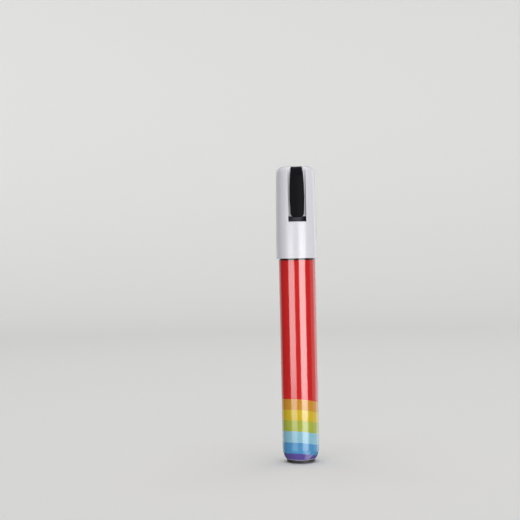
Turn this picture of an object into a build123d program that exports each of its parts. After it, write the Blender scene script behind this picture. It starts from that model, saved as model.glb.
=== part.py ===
from build123d import *
import math
import os

# Liquid chalk marker with its cap on, standing on its tail.
# Lengths are millimetres. The axis is Z, the foot stands on z = 0 and the clip faces -Y.
# Each piece stands on the one below it, so a longer piece lifts everything above it.

# Barrel: a round tube, open at both ends, with its tail drawn in by a large round
# and a shallow step where the cap runs over it
BARREL_DIAMETER = 17.6
BARREL_WALL = 1.2
BARREL_LENGTH = 102.6
BARREL_STEP = 0.2
BARREL_STEP_SHOW = 0.4
BARREL_MOUTH_CHAMFER = 0.4
TAIL_ROUND_RADIUS = 7.7
TAIL_DRAW_IN = 1.85
TAIL_LIP = 1.6
TAIL_FUNNEL_LENGTH = 3.0

# Film sleeve, shrunk over the barrel and round its tail
FILM_THICKNESS = 0.1
FILM_GAP = 0.02
FILM_TAIL_SETBACK = 0.15
FILM_STEP_SETBACK = 0.5

# End plug: a foot to stand on and a spigot in the tail, cored out from below
PLUG_FOOT_HEIGHT = 1.4
PLUG_EDGE_ROUND = 1.1
PLUG_SPIGOT_LENGTH = 4.2
PLUG_SPIGOT_CHAMFER = 0.4
PLUG_FIT_GAP = 0.03
PLUG_WALL = 1.7
PLUG_ROOF = 1.4
PLUG_DISH_DEPTH = 0.5
PLUG_DISH_RIM = 0.5

# Mixing ball, loose in the barrel
BALL_DIAMETER = 6.0
BALL_GAP = 0.05

# Nose cone: spigot in the barrel, flange on its mouth, snap neck, shoulder and nib neck
SPIGOT_LENGTH = 10.0
SPIGOT_GAP = 0.05
SPIGOT_WALL = 1.3
FLANGE_HEIGHT = 1.5
SNAP_NECK_STEP = 0.9
SNAP_NECK_HEIGHT = 5.0
SNAP_BEAD_PROUD = 0.25
SNAP_BEAD_HEIGHT = 1.4
SNAP_BEAD_RISE = 2.4
SHOULDER_HEIGHT = 6.0
SHOULDER_ROUND = 2.4
SHOULDER_WALL = 1.6
NECK_LENGTH = 6.5
NECK_WALL = 1.75
NECK_FOOT_ROUND = 1.0
NECK_EDGE_ROUND = 0.5

# Nib: a pressed fibre rod with a bullet point
NIB_DIAMETER = 5.5
NIB_PROTRUSION = 10.5
NIB_STROKE = 2.5
NIB_RUNNING_GAP = 0.08
NIB_POINT_LENGTH = 3.9
NIB_TIP_RADIUS = 1.9
NIB_REAR_CHAMFER = 0.3

# Valve housing: a seat plate with a collar in the nose cone and a skirt round the cage
HOUSING_DECK = 1.2
HOUSING_COLLAR_LENGTH = 5.0
HOUSING_COLLAR_WALL = 1.0
HOUSING_SKIRT_LENGTH = 3.0
HOUSING_SKIRT_WALL = 0.9
HOUSING_FIT_GAP = 0.05
SEAT_FLOW_GAP = 0.8

# Valve seal and stem
SEAL_THICKNESS = 0.8
SEAL_LAND = 0.4
STEM_DIAMETER = 2.4
STEM_HEAD_DIAMETER = 6.0
STEM_HEAD_THICKNESS = 1.2
STEM_PILOT_LENGTH = 1.8
STEM_CUP_DEPTH = 3.0
STEM_CUP_WALL = 0.8
STEM_CUP_FLOOR = 1.0
STEM_CUP_GAP = 0.02
STEM_GUIDE_GAP = 0.1
STEM_STOP_GAP = 0.05
STEM_NOTCH_COUNT = 4
STEM_NOTCH_WIDTH = 2.4
STEM_NOTCH_DEPTH = 1.8

# Valve cage and spring
CAGE_LENGTH = 10.0
CAGE_WALL = 0.8
CAGE_FLOOR = 1.0
CAGE_FLOW_GAP = 0.7
CAGE_WINDOW_COUNT = 4
CAGE_WINDOW_WIDTH = 2.4
CAGE_WINDOW_HEIGHT = 4.0
CAGE_WINDOW_SILL = 1.0
CAGE_DRAIN_DIAMETER = 2.6
SPRING_WIRE_DIAMETER = 0.5
SPRING_TURNS = 5
SPRING_PILOT_GAP = 0.3
SPRING_END_GAP = 0.03

# Cap shell: a mouth that runs over the film, a bore over the snap bead and a solid crown
CAP_OVERLAP = 4.0
CAP_RUNNING_GAP = 0.25
CAP_RIM_WALL = 0.83
CAP_RIM_ROUND = 0.25
CAP_MOUTH_CHAMFER = 0.3
CAP_TAPER = 0.68
CAP_BORE_GAP = 0.2
SNAP_RIB_GAP = 0.06
SNAP_RIB_HEIGHT = 0.8
CROWN_THICKNESS = 3.2
CROWN_ROUND_RADIUS = 3.1
CROWN_FLOOR = 0.75

# Inner cap: a cup that seals on the nib neck, held in a socket under the crown
INNER_CAP_GAP = 0.1
INNER_CAP_WALL = 1.0
INNER_CAP_TOP = 1.2
INNER_CAP_LIFT = 1.2
INNER_CAP_LIP_PROUD = 0.4
INNER_CAP_LIP_HEIGHT = 1.0
INNER_CAP_FIT_GAP = 0.03
NIB_HEADROOM = 7.1
SOCKET_DEPTH = 8.0
SOCKET_WALL = 1.0

# Pocket clip: an arm in a channel of the cap, creased to a facet near its top and bent over
# the crown to a round root bead
CLIP_LENGTH = 25.05
CLIP_WIDTH = 7.05
CLIP_TIP_WIDTH = 6.5
CLIP_BEND_WIDTH = 6.16
CLIP_TOP_WIDTH = 4.9
CLIP_WIDEST_SHARE = 0.35
CLIP_ARM_THICKNESS = 1.6
CLIP_PLATE_THICKNESS = 1.3
CLIP_PROUD = 0.2
CLIP_TOP_SETBACK = 0.4
CLIP_CORNER_ROUND = 1.5
CLIP_TIP_ROUND = 0.8
CLIP_CREASE_DROP = 4.4
CLIP_CREASE_ROUND = 1.2
CLIP_FACET_DRAW_IN = 1.6
CLIP_TOP_ROUND = 2.2
CLIP_TURN_RISE = 1.2
CLIP_TURN_ROUND = 2.0
CLIP_BEND_ROUND = 0.7
CLIP_FLOOR_GAP = 0.9
CLIP_SIDE_GAP = 0.83
CLIP_BUMP_GAP = 0.3
CLIP_BUMP_LENGTH = 4.4
CLIP_BUMP_SHARES = (0.3, 0.6)
CLIP_BEAD_SETBACK = 4.0
CLIP_BEAD_GAP = 0.05
CLIP_PLATE_GAP = 0.3
CLIP_LIP_REACH = 0.6
CLIP_ROOT_GAP = 0.2
CHANNEL_WALL = 1.0
SLOT_SHOW = 1.85
SLOT_OVERLAP = 0.5

# How far every cut runs past the face that it opens
OVERRUN = 2.0

# Heights, from the foot upwards
TAIL_Z = PLUG_FOOT_HEIGHT
MOUTH_Z = TAIL_Z + BARREL_LENGTH
SPIGOT_Z = MOUTH_Z - SPIGOT_LENGTH
COLLAR_Z = SPIGOT_Z + HOUSING_COLLAR_LENGTH
STEM_CUP_Z = COLLAR_Z + NIB_STROKE + STEM_STOP_GAP
NIB_REAR_Z = STEM_CUP_Z + STEM_CUP_FLOOR
FLANGE_Z = MOUTH_Z + FLANGE_HEIGHT
SNAP_NECK_Z = FLANGE_Z + SNAP_NECK_HEIGHT
SHOULDER_Z = SNAP_NECK_Z + SHOULDER_HEIGHT
NECK_Z = SHOULDER_Z + NECK_LENGTH
NIB_TIP_Z = NECK_Z + NIB_PROTRUSION
CROWN_UNDER_Z = NIB_TIP_Z + NIB_HEADROOM + INNER_CAP_TOP
CROWN_Z = CROWN_UNDER_Z + CROWN_THICKNESS
RIM_Z = MOUTH_Z - CAP_OVERLAP
STEP_Z = RIM_Z - BARREL_STEP_SHOW
FILM_TOP_Z = STEP_Z - FILM_STEP_SETBACK
DECK_Z = SPIGOT_Z - HOUSING_DECK
SEAT_Z = DECK_Z - SEAL_THICKNESS
CAGE_Z = DECK_Z - CAGE_LENGTH
CAGE_FLOOR_Z = CAGE_Z + CAGE_FLOOR
HEAD_UNDER_Z = SEAT_Z - STEM_HEAD_THICKNESS
PLUG_TOP_Z = TAIL_Z + PLUG_SPIGOT_LENGTH
CLIP_TOP_Z = CROWN_Z - CLIP_TOP_SETBACK
CLIP_TIP_Z = CROWN_Z - CLIP_LENGTH
CLIP_PLATE_Z = CLIP_TOP_Z - CLIP_PLATE_THICKNESS
CLIP_CREASE_Z = CLIP_TOP_Z - CLIP_CREASE_DROP
CLIP_BEND_Z = CROWN_Z - CROWN_ROUND_RADIUS
ROOT_GROOVE_Z = CLIP_PLATE_Z - CLIP_PLATE_GAP
SLOT_TOP_Z = CLIP_TIP_Z + SLOT_OVERLAP
CHANNEL_Z = CLIP_TIP_Z - SLOT_SHOW

# Radii, from the barrel inwards and outwards
BARREL_R = BARREL_DIAMETER / 2
BARREL_BORE_R = BARREL_R - BARREL_WALL
TAIL_FACE_R = BARREL_R - TAIL_DRAW_IN
TAIL_BORE_R = TAIL_FACE_R - TAIL_LIP
PLUG_SPIGOT_R = TAIL_BORE_R - PLUG_FIT_GAP
SPIGOT_R = BARREL_BORE_R - SPIGOT_GAP
SPIGOT_BORE_R = SPIGOT_R - SPIGOT_WALL
SNAP_NECK_R = BARREL_R - SNAP_NECK_STEP
SNAP_BEAD_R = SNAP_NECK_R + SNAP_BEAD_PROUD
FILM_INNER_R = BARREL_R + FILM_GAP
FILM_R = FILM_INNER_R + FILM_THICKNESS
CAP_MOUTH_R = FILM_R + CAP_RUNNING_GAP
CAP_RIM_R = CAP_MOUTH_R + CAP_RIM_WALL
CAP_CROWN_R = CAP_RIM_R - CAP_TAPER
CAP_BORE_R = SNAP_BEAD_R + CAP_BORE_GAP

# Radii, from the nib outwards
NIB_R = NIB_DIAMETER / 2
NIB_BORE_R = NIB_R + NIB_RUNNING_GAP
NECK_R = NIB_BORE_R + NECK_WALL
INNER_CAP_BORE_R = NECK_R + INNER_CAP_GAP
INNER_CAP_R = INNER_CAP_BORE_R + INNER_CAP_WALL
SOCKET_BORE_R = INNER_CAP_R + INNER_CAP_FIT_GAP
STEM_R = STEM_DIAMETER / 2
STEM_HEAD_R = STEM_HEAD_DIAMETER / 2
SEAT_BORE_R = STEM_R + SEAT_FLOW_GAP
CAGE_BORE_R = STEM_HEAD_R + CAGE_FLOW_GAP
CAGE_R = CAGE_BORE_R + CAGE_WALL

# Where the tail's round starts, tangent to the barrel
TAIL_ROUND_Z = TAIL_Z + math.sqrt(TAIL_ROUND_RADIUS**2 - (TAIL_ROUND_RADIUS - TAIL_DRAW_IN) ** 2)

# Clip and channel, measured forwards from the axis
CLIP_FACE_R = CAP_RIM_R + CLIP_PROUD
CLIP_INNER_Y = CLIP_FACE_R - CLIP_ARM_THICKNESS
CHANNEL_FLOOR_Y = CLIP_INNER_Y - CLIP_FLOOR_GAP
CHANNEL_BACK_Y = CHANNEL_FLOOR_Y - CHANNEL_WALL
CHANNEL_WIDTH = CLIP_WIDTH + 2 * CLIP_SIDE_GAP
CLIP_BEAD_R = (CROWN_THICKNESS - CROWN_FLOOR - CLIP_TOP_SETBACK - CLIP_BEAD_GAP) / 2
CLIP_BEAD_Z = CLIP_TOP_Z - CLIP_BEAD_R

# The root groove is as wide as the tapering clip at the groove's floor, with a gap on both sides
CLIP_TAPER_SHARE = (ROOT_GROOVE_Z - CLIP_BEND_Z) / (CROWN_Z - CLIP_BEND_Z)
CLIP_ROOT_WIDTH = CLIP_BEND_WIDTH - (CLIP_BEND_WIDTH - CLIP_TOP_WIDTH) * CLIP_TAPER_SHARE
ROOT_GROOVE_WIDTH = CLIP_ROOT_WIDTH + 2 * CLIP_ROOT_GAP


def turned(outline):
    """Solid turned about the axis from a closed outline of radius and height."""
    return revolve(Plane.XZ * make_face(outline), Axis.Z)


def tail_radius(height, proud):
    """Radius of the barrel's rounded tail at a height, a distance proud of its surface."""
    centre_r = BARREL_R - TAIL_ROUND_RADIUS
    return centre_r + math.sqrt((TAIL_ROUND_RADIUS + proud) ** 2 - (TAIL_ROUND_Z - height) ** 2)


def tail_arc(height, proud):
    """Round of the tail, from the straight side down to a height."""
    side = (BARREL_R + proud, TAIL_ROUND_Z)
    return TangentArc(side, (tail_radius(height, proud), height), tangent=(0, -1))


def barrel():
    """Tube with a drawn-in tail, a short straight bore for the plug and a stepped mouth."""
    return turned(
        tail_arc(TAIL_Z, 0)
        + Polyline(
            (BARREL_R, TAIL_ROUND_Z),
            (BARREL_R, STEP_Z),
            (BARREL_R - BARREL_STEP, STEP_Z),
            (BARREL_R - BARREL_STEP, MOUTH_Z),
            (BARREL_BORE_R + BARREL_MOUTH_CHAMFER, MOUTH_Z),
            (BARREL_BORE_R, MOUTH_Z - BARREL_MOUTH_CHAMFER),
            (BARREL_BORE_R, PLUG_TOP_Z + TAIL_FUNNEL_LENGTH),
            (TAIL_BORE_R, PLUG_TOP_Z),
            (TAIL_BORE_R, TAIL_Z),
            (TAIL_FACE_R, TAIL_Z),
        )
    )


def film_sleeve():
    """Thin sleeve that follows the barrel's side and tail and ends below its step."""
    end_z = TAIL_Z + FILM_TAIL_SETBACK
    inner = FILM_GAP
    outer = FILM_GAP + FILM_THICKNESS
    return turned(
        tail_arc(end_z, inner)
        + tail_arc(end_z, outer)
        + Line((tail_radius(end_z, inner), end_z), (tail_radius(end_z, outer), end_z))
        + Polyline(
            (FILM_INNER_R, TAIL_ROUND_Z),
            (FILM_INNER_R, FILM_TOP_Z),
            (FILM_R, FILM_TOP_Z),
            (FILM_R, TAIL_ROUND_Z),
        )
    )


def end_plug():
    """Plug with a rounded foot, a spigot and a dished roof where the ball comes to rest."""
    dish_z = PLUG_TOP_Z - PLUG_DISH_DEPTH
    dish_r = PLUG_SPIGOT_R - PLUG_SPIGOT_CHAMFER - PLUG_DISH_RIM
    core_r = PLUG_SPIGOT_R - PLUG_WALL
    core_z = dish_z - PLUG_ROOF
    foot_r = TAIL_FACE_R - PLUG_EDGE_ROUND
    return turned(
        TangentArc((0, dish_z), (dish_r, PLUG_TOP_Z), tangent=(1, 0))
        + Polyline(
            (dish_r, PLUG_TOP_Z),
            (PLUG_SPIGOT_R - PLUG_SPIGOT_CHAMFER, PLUG_TOP_Z),
            (PLUG_SPIGOT_R, PLUG_TOP_Z - PLUG_SPIGOT_CHAMFER),
            (PLUG_SPIGOT_R, TAIL_Z),
            (TAIL_FACE_R, TAIL_Z),
            (TAIL_FACE_R, PLUG_EDGE_ROUND),
        )
        + TangentArc((TAIL_FACE_R, PLUG_EDGE_ROUND), (foot_r, 0), tangent=(0, -1))
        + Polyline((foot_r, 0), (core_r, 0), (core_r, core_z), (0, core_z), (0, dish_z))
    )


def mixing_ball():
    """Ball at rest in the middle of the plug's dish."""
    radius = BALL_DIAMETER / 2
    rest_z = PLUG_TOP_Z - PLUG_DISH_DEPTH + BALL_GAP + radius
    return Pos(0, 0, rest_z) * Sphere(radius)


def nose_cone():
    """Front section, from the spigot in the barrel up to the neck that guides the nib."""
    bead_z = FLANGE_Z + SNAP_BEAD_RISE
    half_bead = SNAP_BEAD_HEIGHT / 2
    outside = FilletPolyline(
        (SPIGOT_BORE_R, SPIGOT_Z),
        (SPIGOT_R, SPIGOT_Z),
        (SPIGOT_R, MOUTH_Z),
        (BARREL_R, MOUTH_Z),
        (BARREL_R, FLANGE_Z),
        (SNAP_NECK_R, FLANGE_Z),
        (SNAP_NECK_R, bead_z - half_bead),
        (SNAP_BEAD_R, bead_z),
        (SNAP_NECK_R, bead_z + half_bead),
        (SNAP_NECK_R, SNAP_NECK_Z),
        (NECK_R, SHOULDER_Z),
        (NECK_R, NECK_Z),
        (NIB_BORE_R, NECK_Z),
        radius=[0, 0, 0, 0, 0, 0, SNAP_BEAD_HEIGHT, 0, SHOULDER_ROUND, NECK_FOOT_ROUND, NECK_EDGE_ROUND],
    )
    inside = Polyline(
        (NIB_BORE_R, NECK_Z),
        (NIB_BORE_R, SHOULDER_Z - SHOULDER_WALL),
        (SPIGOT_BORE_R, SNAP_NECK_Z - SHOULDER_WALL),
        (SPIGOT_BORE_R, SPIGOT_Z),
    )
    return turned(outside + inside)


def nib():
    """Fibre rod with a bullet point: a round tip and a side arc that runs from it into the rod."""
    point_z = NIB_TIP_Z - NIB_POINT_LENGTH
    rise = NIB_POINT_LENGTH - NIB_TIP_RADIUS
    side_radius = (NIB_R**2 - NIB_TIP_RADIUS**2 + rise**2) / (2 * (NIB_R - NIB_TIP_RADIUS))
    lean = math.atan2(rise, side_radius - NIB_R)
    meeting = (NIB_TIP_RADIUS * math.cos(lean), point_z + rise + NIB_TIP_RADIUS * math.sin(lean))
    return turned(
        Polyline(
            (0, NIB_TIP_Z),
            (0, NIB_REAR_Z),
            (NIB_R - NIB_REAR_CHAMFER, NIB_REAR_Z),
            (NIB_R, NIB_REAR_Z + NIB_REAR_CHAMFER),
            (NIB_R, point_z),
        )
        + TangentArc((NIB_R, point_z), meeting, tangent=(0, 1))
        + TangentArc((0, NIB_TIP_Z), meeting, tangent=(1, 0))
    )


def valve_housing():
    """Seat plate under the nose cone's spigot, with its collar and skirt."""
    collar_r = SPIGOT_BORE_R - HOUSING_FIT_GAP
    collar_bore_r = collar_r - HOUSING_COLLAR_WALL
    skirt_bore_r = CAGE_R + HOUSING_FIT_GAP
    skirt_r = skirt_bore_r + HOUSING_SKIRT_WALL
    skirt_z = DECK_Z - HOUSING_SKIRT_LENGTH
    return turned(
        Polyline(
            (SEAT_BORE_R, SPIGOT_Z),
            (collar_bore_r, SPIGOT_Z),
            (collar_bore_r, COLLAR_Z),
            (collar_r, COLLAR_Z),
            (collar_r, SPIGOT_Z),
            (SPIGOT_R, SPIGOT_Z),
            (SPIGOT_R, DECK_Z),
            (skirt_r, DECK_Z),
            (skirt_r, skirt_z),
            (skirt_bore_r, skirt_z),
            (skirt_bore_r, DECK_Z),
            (SEAT_BORE_R, DECK_Z),
            (SEAT_BORE_R, SPIGOT_Z),
        )
    )


def valve_seal():
    """Rubber ring between the seat plate and the stem's head."""
    rim_r = STEM_HEAD_R + SEAL_LAND
    return turned(
        Polyline(
            (SEAT_BORE_R, SEAT_Z),
            (rim_r, SEAT_Z),
            (rim_r, DECK_Z),
            (SEAT_BORE_R, DECK_Z),
            (SEAT_BORE_R, SEAT_Z),
        )
    )


def valve_stem():
    """Plunger: spring pilot, sealing head, rod, and a cup for the nib on a notched guide disc."""
    cup_bore_r = NIB_R + STEM_CUP_GAP
    cup_r = cup_bore_r + STEM_CUP_WALL
    cup_rim_z = NIB_REAR_Z + STEM_CUP_DEPTH
    guide_r = SPIGOT_BORE_R - STEM_GUIDE_GAP
    pilot_z = HEAD_UNDER_Z - STEM_PILOT_LENGTH
    stem = turned(
        Polyline(
            (0, pilot_z),
            (STEM_R, pilot_z),
            (STEM_R, HEAD_UNDER_Z),
            (STEM_HEAD_R, HEAD_UNDER_Z),
            (STEM_HEAD_R, SEAT_Z),
            (STEM_R, SEAT_Z),
            (STEM_R, STEM_CUP_Z),
            (guide_r, STEM_CUP_Z),
            (guide_r, NIB_REAR_Z),
            (cup_r, NIB_REAR_Z),
            (cup_r, cup_rim_z),
            (cup_bore_r, cup_rim_z),
            (cup_bore_r, NIB_REAR_Z),
            (0, NIB_REAR_Z),
            (0, pilot_z),
        )
    )
    notch_height = 2 * STEM_CUP_FLOOR
    notch = Box(2 * STEM_NOTCH_DEPTH, STEM_NOTCH_WIDTH, notch_height)
    notch_z = STEM_CUP_Z + STEM_CUP_FLOOR / 2
    for index in range(STEM_NOTCH_COUNT):
        stem -= Rot(0, 0, index * 360 / STEM_NOTCH_COUNT) * Pos(guide_r, 0, notch_z) * notch
    return stem


def valve_cage():
    """Windowed cup under the seat plate that carries the spring."""
    drain_r = CAGE_DRAIN_DIAMETER / 2
    cage = turned(
        Polyline(
            (drain_r, CAGE_Z),
            (CAGE_R, CAGE_Z),
            (CAGE_R, DECK_Z),
            (CAGE_BORE_R, DECK_Z),
            (CAGE_BORE_R, CAGE_FLOOR_Z),
            (drain_r, CAGE_FLOOR_Z),
            (drain_r, CAGE_Z),
        )
    )
    window_z = CAGE_FLOOR_Z + CAGE_WINDOW_SILL + CAGE_WINDOW_HEIGHT / 2
    window = Pos(CAGE_R, 0, window_z) * Box(2 * CAGE_R, CAGE_WINDOW_WIDTH, CAGE_WINDOW_HEIGHT)
    for index in range(CAGE_WINDOW_COUNT):
        cage -= Rot(0, 0, index * 360 / CAGE_WINDOW_COUNT) * window
    return cage


def valve_spring():
    """Helical spring between the cage's floor and the stem's head."""
    wire_r = SPRING_WIRE_DIAMETER / 2
    coil_r = STEM_R + SPRING_PILOT_GAP + wire_r
    start_z = CAGE_FLOOR_Z + SPRING_END_GAP + wire_r
    height = HEAD_UNDER_Z - SPRING_END_GAP - wire_r - start_z
    helix = Pos(0, 0, start_z) * Helix(height / SPRING_TURNS, height, coil_r)
    section = Plane(origin=helix @ 0, z_dir=helix % 0) * Circle(wire_r)
    return sweep(section, helix, is_frenet=True)


def inner_cap():
    """Cup over the nib, with a lip at its mouth."""
    mouth_z = SHOULDER_Z + INNER_CAP_LIFT
    lip_r = INNER_CAP_R + INNER_CAP_LIP_PROUD
    lip_z = mouth_z + INNER_CAP_LIP_HEIGHT
    roof_z = CROWN_UNDER_Z - INNER_CAP_TOP
    return turned(
        Polyline(
            (0, CROWN_UNDER_Z),
            (INNER_CAP_R, CROWN_UNDER_Z),
            (INNER_CAP_R, lip_z),
            (lip_r, lip_z),
            (lip_r, mouth_z),
            (INNER_CAP_BORE_R, mouth_z),
            (INNER_CAP_BORE_R, roof_z),
            (0, roof_z),
            (0, CROWN_UNDER_Z),
        )
    )


def cap_outside():
    """The cap's outside as one solid form: a bowed taper and a rounded crown."""
    side = TangentArc((CAP_RIM_R, RIM_Z), (CAP_CROWN_R, CROWN_Z), tangent=(0, 1))
    face = make_face(
        side + Polyline((CAP_CROWN_R, CROWN_Z), (0, CROWN_Z), (0, RIM_Z), (CAP_RIM_R, RIM_Z))
    )
    crown_corner = face.vertices().sort_by_distance((CAP_CROWN_R, CROWN_Z))[0]
    face = fillet(crown_corner, CROWN_ROUND_RADIUS)
    rim_corner = face.vertices().sort_by_distance((CAP_RIM_R, RIM_Z))[0]
    face = fillet(rim_corner, CAP_RIM_ROUND)
    return revolve(Plane.XZ * face, Axis.Z)


def cap_hollow():
    """The cap's inside: mouth, seat on the flange, snap rib and bore up to the crown."""
    rib_r = SNAP_BEAD_R + SNAP_RIB_GAP
    rib_z = FLANGE_Z + SNAP_RIB_HEIGHT
    ramp_z = rib_z + CAP_BORE_R - rib_r
    return turned(
        Polyline(
            (0, RIM_Z - OVERRUN),
            (CAP_MOUTH_R + CAP_MOUTH_CHAMFER, RIM_Z - OVERRUN),
            (CAP_MOUTH_R + CAP_MOUTH_CHAMFER, RIM_Z),
            (CAP_MOUTH_R, RIM_Z + CAP_MOUTH_CHAMFER),
            (CAP_MOUTH_R, FLANGE_Z),
            (rib_r, FLANGE_Z),
            (rib_r, rib_z),
            (CAP_BORE_R, ramp_z),
            (CAP_BORE_R, CROWN_UNDER_Z),
            (0, CROWN_UNDER_Z),
            (0, RIM_Z - OVERRUN),
        )
    )


def front_block(width, front_y, back_y, low_z, high_z):
    """Block across the cap's front, between two distances forward of the axis."""
    block = Box(width, front_y - back_y, high_z - low_z)
    return Pos(0, -(front_y + back_y) / 2, (low_z + high_z) / 2) * block


def cap_shell():
    """Cap with the clip's channel and slot, the clip's root groove and the inner cap's socket."""
    outside = cap_outside()
    front_y = CAP_RIM_R + OVERRUN
    top_z = CROWN_Z + OVERRUN
    shell = outside - cap_hollow()

    # The channel's floor stands inside the bore, so it has a flat wall behind it
    shell += outside & front_block(2 * CAP_BORE_R, front_y, CHANNEL_BACK_Y, SLOT_TOP_Z, CROWN_Z)
    socket_z = CROWN_UNDER_Z - SOCKET_DEPTH
    shell += Pos(0, 0, socket_z) * Cylinder(
        SOCKET_BORE_R + SOCKET_WALL, SOCKET_DEPTH, align=(Align.CENTER, Align.CENTER, Align.MIN)
    )
    shell -= Pos(0, 0, CROWN_UNDER_Z) * Cylinder(
        SOCKET_BORE_R, CROWN_UNDER_Z - RIM_Z, align=(Align.CENTER, Align.CENTER, Align.MAX)
    )
    shell -= front_block(CHANNEL_WIDTH, front_y, CHANNEL_FLOOR_Y, CHANNEL_Z, top_z)
    shell -= front_block(CHANNEL_WIDTH, front_y, CHANNEL_BACK_Y, CHANNEL_Z, SLOT_TOP_Z)

    # Root groove: open above the plate, roofed over the bead
    lip_y = CLIP_BEAD_SETBACK + CLIP_LIP_REACH
    roof_z = CLIP_TOP_Z + 2 * CLIP_BEAD_GAP
    shell -= front_block(ROOT_GROOVE_WIDTH, front_y, lip_y, ROOT_GROOVE_Z, top_z)
    shell -= front_block(ROOT_GROOVE_WIDTH, front_y, CLIP_BEAD_SETBACK, ROOT_GROOVE_Z, roof_z)
    bead_hole = Cylinder(CLIP_BEAD_R + CLIP_BEAD_GAP, ROOT_GROOVE_WIDTH, rotation=(0, 90, 0))
    shell -= Pos(0, -CLIP_BEAD_SETBACK, CLIP_BEAD_Z) * bead_hole
    return shell


def clip_side_view():
    """Clip seen from the side, as a face of forward distance and height."""
    bead_y = -CLIP_BEAD_SETBACK
    bead_end_y = bead_y - math.sqrt(CLIP_BEAD_R**2 - (CLIP_BEAD_Z - CLIP_PLATE_Z) ** 2)
    turn_z = CLIP_CREASE_Z + CLIP_TURN_RISE
    bend_y = -CLIP_INNER_Y + (CLIP_PLATE_Z - turn_z) * CLIP_FACET_DRAW_IN / CLIP_CREASE_DROP
    front_y = -CLIP_FACE_R - OVERRUN
    bump_y = -CHANNEL_FLOOR_Y - CLIP_BUMP_GAP
    bump_low_z, bump_high_z = (CLIP_TIP_Z + share * CLIP_BUMP_LENGTH for share in CLIP_BUMP_SHARES)
    return make_face(
        ThreePointArc((bead_y, CLIP_TOP_Z), (bead_y + CLIP_BEAD_R, CLIP_BEAD_Z), (bead_end_y, CLIP_PLATE_Z))
        + FilletPolyline(
            (bead_end_y, CLIP_PLATE_Z),
            (bend_y, CLIP_PLATE_Z),
            (-CLIP_INNER_Y, turn_z),
            (-CLIP_INNER_Y, CLIP_TIP_Z + CLIP_BUMP_LENGTH),
            (bump_y, bump_high_z),
            (bump_y, bump_low_z),
            (-CLIP_INNER_Y, CLIP_TIP_Z),
            radius=[
                CLIP_BEND_ROUND,
                CLIP_TURN_ROUND,
                CLIP_BUMP_LENGTH,
                CLIP_ARM_THICKNESS / 2,
                CLIP_ARM_THICKNESS / 2,
            ],
        )
        + Polyline(
            (-CLIP_INNER_Y, CLIP_TIP_Z),
            (front_y, CLIP_TIP_Z),
            (front_y, CLIP_TOP_Z),
            (bead_y, CLIP_TOP_Z),
        )
    )


def clip_front_view():
    """Clip seen from the front: bowed sides, a rounded tip and a narrower top."""
    widest_z = CLIP_TIP_Z + CLIP_WIDEST_SHARE * CLIP_LENGTH
    tip_x, widest_x = CLIP_TIP_WIDTH / 2, CLIP_WIDTH / 2
    bend_x, top_x = CLIP_BEND_WIDTH / 2, CLIP_TOP_WIDTH / 2
    right = ThreePointArc((tip_x, CLIP_TIP_Z), (widest_x, widest_z), (bend_x, CLIP_BEND_Z))
    left = ThreePointArc((-tip_x, CLIP_TIP_Z), (-widest_x, widest_z), (-bend_x, CLIP_BEND_Z))
    top = Polyline(
        (bend_x, CLIP_BEND_Z), (top_x, CROWN_Z), (-top_x, CROWN_Z), (-bend_x, CLIP_BEND_Z)
    )
    face = make_face(right + left + top + Line((-tip_x, CLIP_TIP_Z), (tip_x, CLIP_TIP_Z)))
    for side in (-1, 1):
        corner = face.vertices().sort_by_distance((side * tip_x, CLIP_TIP_Z))[0]
        face = fillet(corner, CLIP_CORNER_ROUND)
    return face


def pocket_clip():
    """Clip where its side view, its front view and a face turned about the axis meet."""
    depth = CLIP_FACE_R + OVERRUN
    clip = extrude(Plane.YZ * clip_side_view(), CLIP_WIDTH, both=True)
    clip &= extrude(Plane.XZ * clip_front_view(), depth)
    clip &= turned(
        FilletPolyline(
            (0, CLIP_TIP_Z),
            (CLIP_FACE_R, CLIP_TIP_Z),
            (CLIP_FACE_R, CLIP_CREASE_Z),
            (CLIP_FACE_R - CLIP_FACET_DRAW_IN, CLIP_TOP_Z),
            (0, CLIP_TOP_Z),
            radius=[CLIP_TIP_ROUND, CLIP_CREASE_ROUND, CLIP_TOP_ROUND],
        )
        + Line((0, CLIP_TOP_Z), (0, CLIP_TIP_Z))
    )
    return clip


PIECES = {
    "barrel": barrel,
    "film_sleeve": film_sleeve,
    "end_plug": end_plug,
    "mixing_ball": mixing_ball,
    "nose_cone": nose_cone,
    "nib": nib,
    "valve_housing": valve_housing,
    "valve_seal": valve_seal,
    "valve_stem": valve_stem,
    "valve_cage": valve_cage,
    "valve_spring": valve_spring,
    "inner_cap": inner_cap,
    "cap_shell": cap_shell,
    "pocket_clip": pocket_clip,
}

os.makedirs("parts", exist_ok=True)
for name, build in PIECES.items():
    export_step(build(), f"parts/{name}.step")
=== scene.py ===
"""Dressed model of a capped liquid chalk marker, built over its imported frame.

Sizes are millimetres in the frame's own axes: Z up the marker, -Y towards the clip. Each visible piece
is a surface worked out with numpy that takes the place of its CAD node and rides on that node's body.
"""

import logging
import math
from dataclasses import dataclass, field
from enum import Enum
from functools import cached_property
from typing import NamedTuple

import bmesh
import bpy
import numpy as np
from mathutils import Matrix, Vector


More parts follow.
